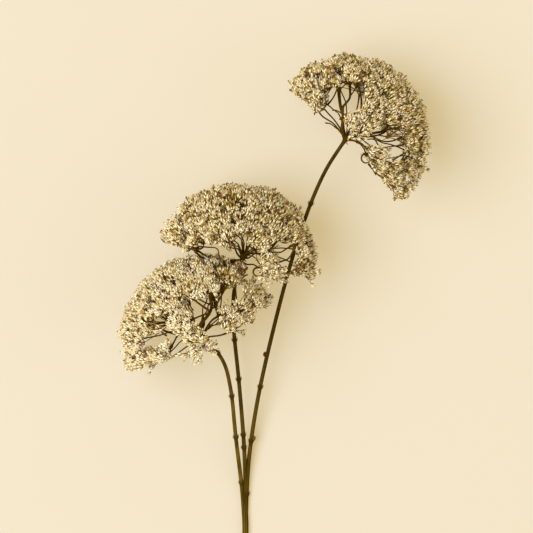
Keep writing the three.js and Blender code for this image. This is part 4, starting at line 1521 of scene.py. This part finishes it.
class SPRAY_OT_stage(bpy.types.Operator):
    """Lays a plain floor and sets a soft key light, an even sky and a camera that looks down"""

    bl_idname = "spray.stage"
    bl_label = "Stage"

    def execute(self, context):
        settings = context.scene.spray_stage
        self.floor(settings)
        self.lights(settings)
        self.camera(context, settings)
        context.scene.view_settings.view_transform = "Standard"
        return {"FINISHED"}

    def floor(self, settings):
        """A wide plain sheet, pale, with a glow of its own that is painted light: it keeps the shadows cast
        on the floor pale.
        """
        deselect_all()
        bpy.ops.mesh.primitive_plane_add(size=FLOOR_SIZE, location=(0, 0, 0))
        floor = bpy.context.object
        floor.name = "floor"
        finish = Finish("pale_floor", roughness=0.9, specular=0.1)
        finish.shader.inputs["Base Color"].default_value = (*settings.floor_colour, 1)
        # Painted light: the floor's emission lifts the shadows cast on it.
        finish.shader.inputs["Emission Color"].default_value = (*settings.painted_glow_colour, 1)
        finish.shader.inputs["Emission Strength"].default_value = 1
        set_material(floor, finish.material)

    def lights(self, settings):
        """An even warm sky, the key light from one side and a weaker one from the other."""
        world = bpy.data.worlds.new("even_sky")
        bpy.context.scene.world = world
        world.use_nodes = True
        sky = world.node_tree.nodes["Background"]
        sky.inputs["Color"].default_value = (*SKY_COLOUR, 1)
        sky.inputs["Strength"].default_value = settings.sky_strength
        for name, way, colour, power in (
            ("key_light", KEY_WAY, KEY_COLOUR, settings.key_power),
            ("fill_light", FILL_WAY, FILL_COLOUR, settings.fill_power),
        ):
            aim = pointing(*way)
            bpy.ops.object.light_add(type="AREA", location=LIT_PLACE + aim * LIGHT_DISTANCE)
            light = bpy.context.object
            light.name = name
            light.rotation_euler = aim.to_track_quat("Z", "Y").to_euler()
            light.data.size = LIGHT_SIZE
            light.data.energy = power
            light.data.color = colour

    def camera(self, context, settings):
        """Looks straight down at the middle of the spray, with +Y up in its view."""
        bpy.ops.object.camera_add()
        camera = bpy.context.object
        camera.name = "camera"
        camera.data.sensor_width = SENSOR
        camera.data.lens = settings.lens
        camera.data.clip_end = 50
        camera.location = VIEW_MIDDLE + Vector((0, 0, VIEW_WIDTH * settings.lens / SENSOR))
        camera.rotation_euler = (0, 0, 0)
        context.scene.camera = camera


# ------------------------------------------------------------------ panel and registration


class SPRAY_PT_panel(bpy.types.Panel):
    """Lists the steps and the settings"""

    bl_idname = "SPRAY_PT_panel"
    bl_label = "Queen Anne's Lace"
    bl_space_type = "VIEW_3D"
    bl_region_type = "UI"
    bl_category = "Spray"

    def draw(self, context):
        for step in STEPS:
            self.layout.operator(step.bl_idname)
        for key in SETTINGS:
            group = getattr(context.scene, key)
            for name in group.bl_rna.properties.keys():
                if name not in {"rna_type", "name"}:
                    self.layout.prop(group, name)


STEPS = (SPRAY_OT_stem, SPRAY_OT_rays, SPRAY_OT_umbellets, SPRAY_OT_stage)
SETTINGS = {
    "spray_stalk": StalkSettings,
    "spray_rays": RaySettings,
    "spray_buds": BudSettings,
    "spray_stage": StageSettings,
}


def register():
    for cls in (*SETTINGS.values(), *STEPS, SPRAY_PT_panel):
        bpy.utils.register_class(cls)
    for key, cls in SETTINGS.items():
        setattr(bpy.types.Scene, key, bpy.props.PointerProperty(type=cls))


def unregister():
    for key in SETTINGS:
        delattr(bpy.types.Scene, key)
    for cls in (SPRAY_PT_panel, *STEPS, *SETTINGS.values()):
        bpy.utils.unregister_class(cls)


def main():
    register()
    dry_mottling()
    bpy.ops.spray.stem()
    bpy.ops.spray.rays()
    bpy.ops.spray.umbellets()
    bpy.ops.spray.stage()


if __name__ == "__main__":
    main()
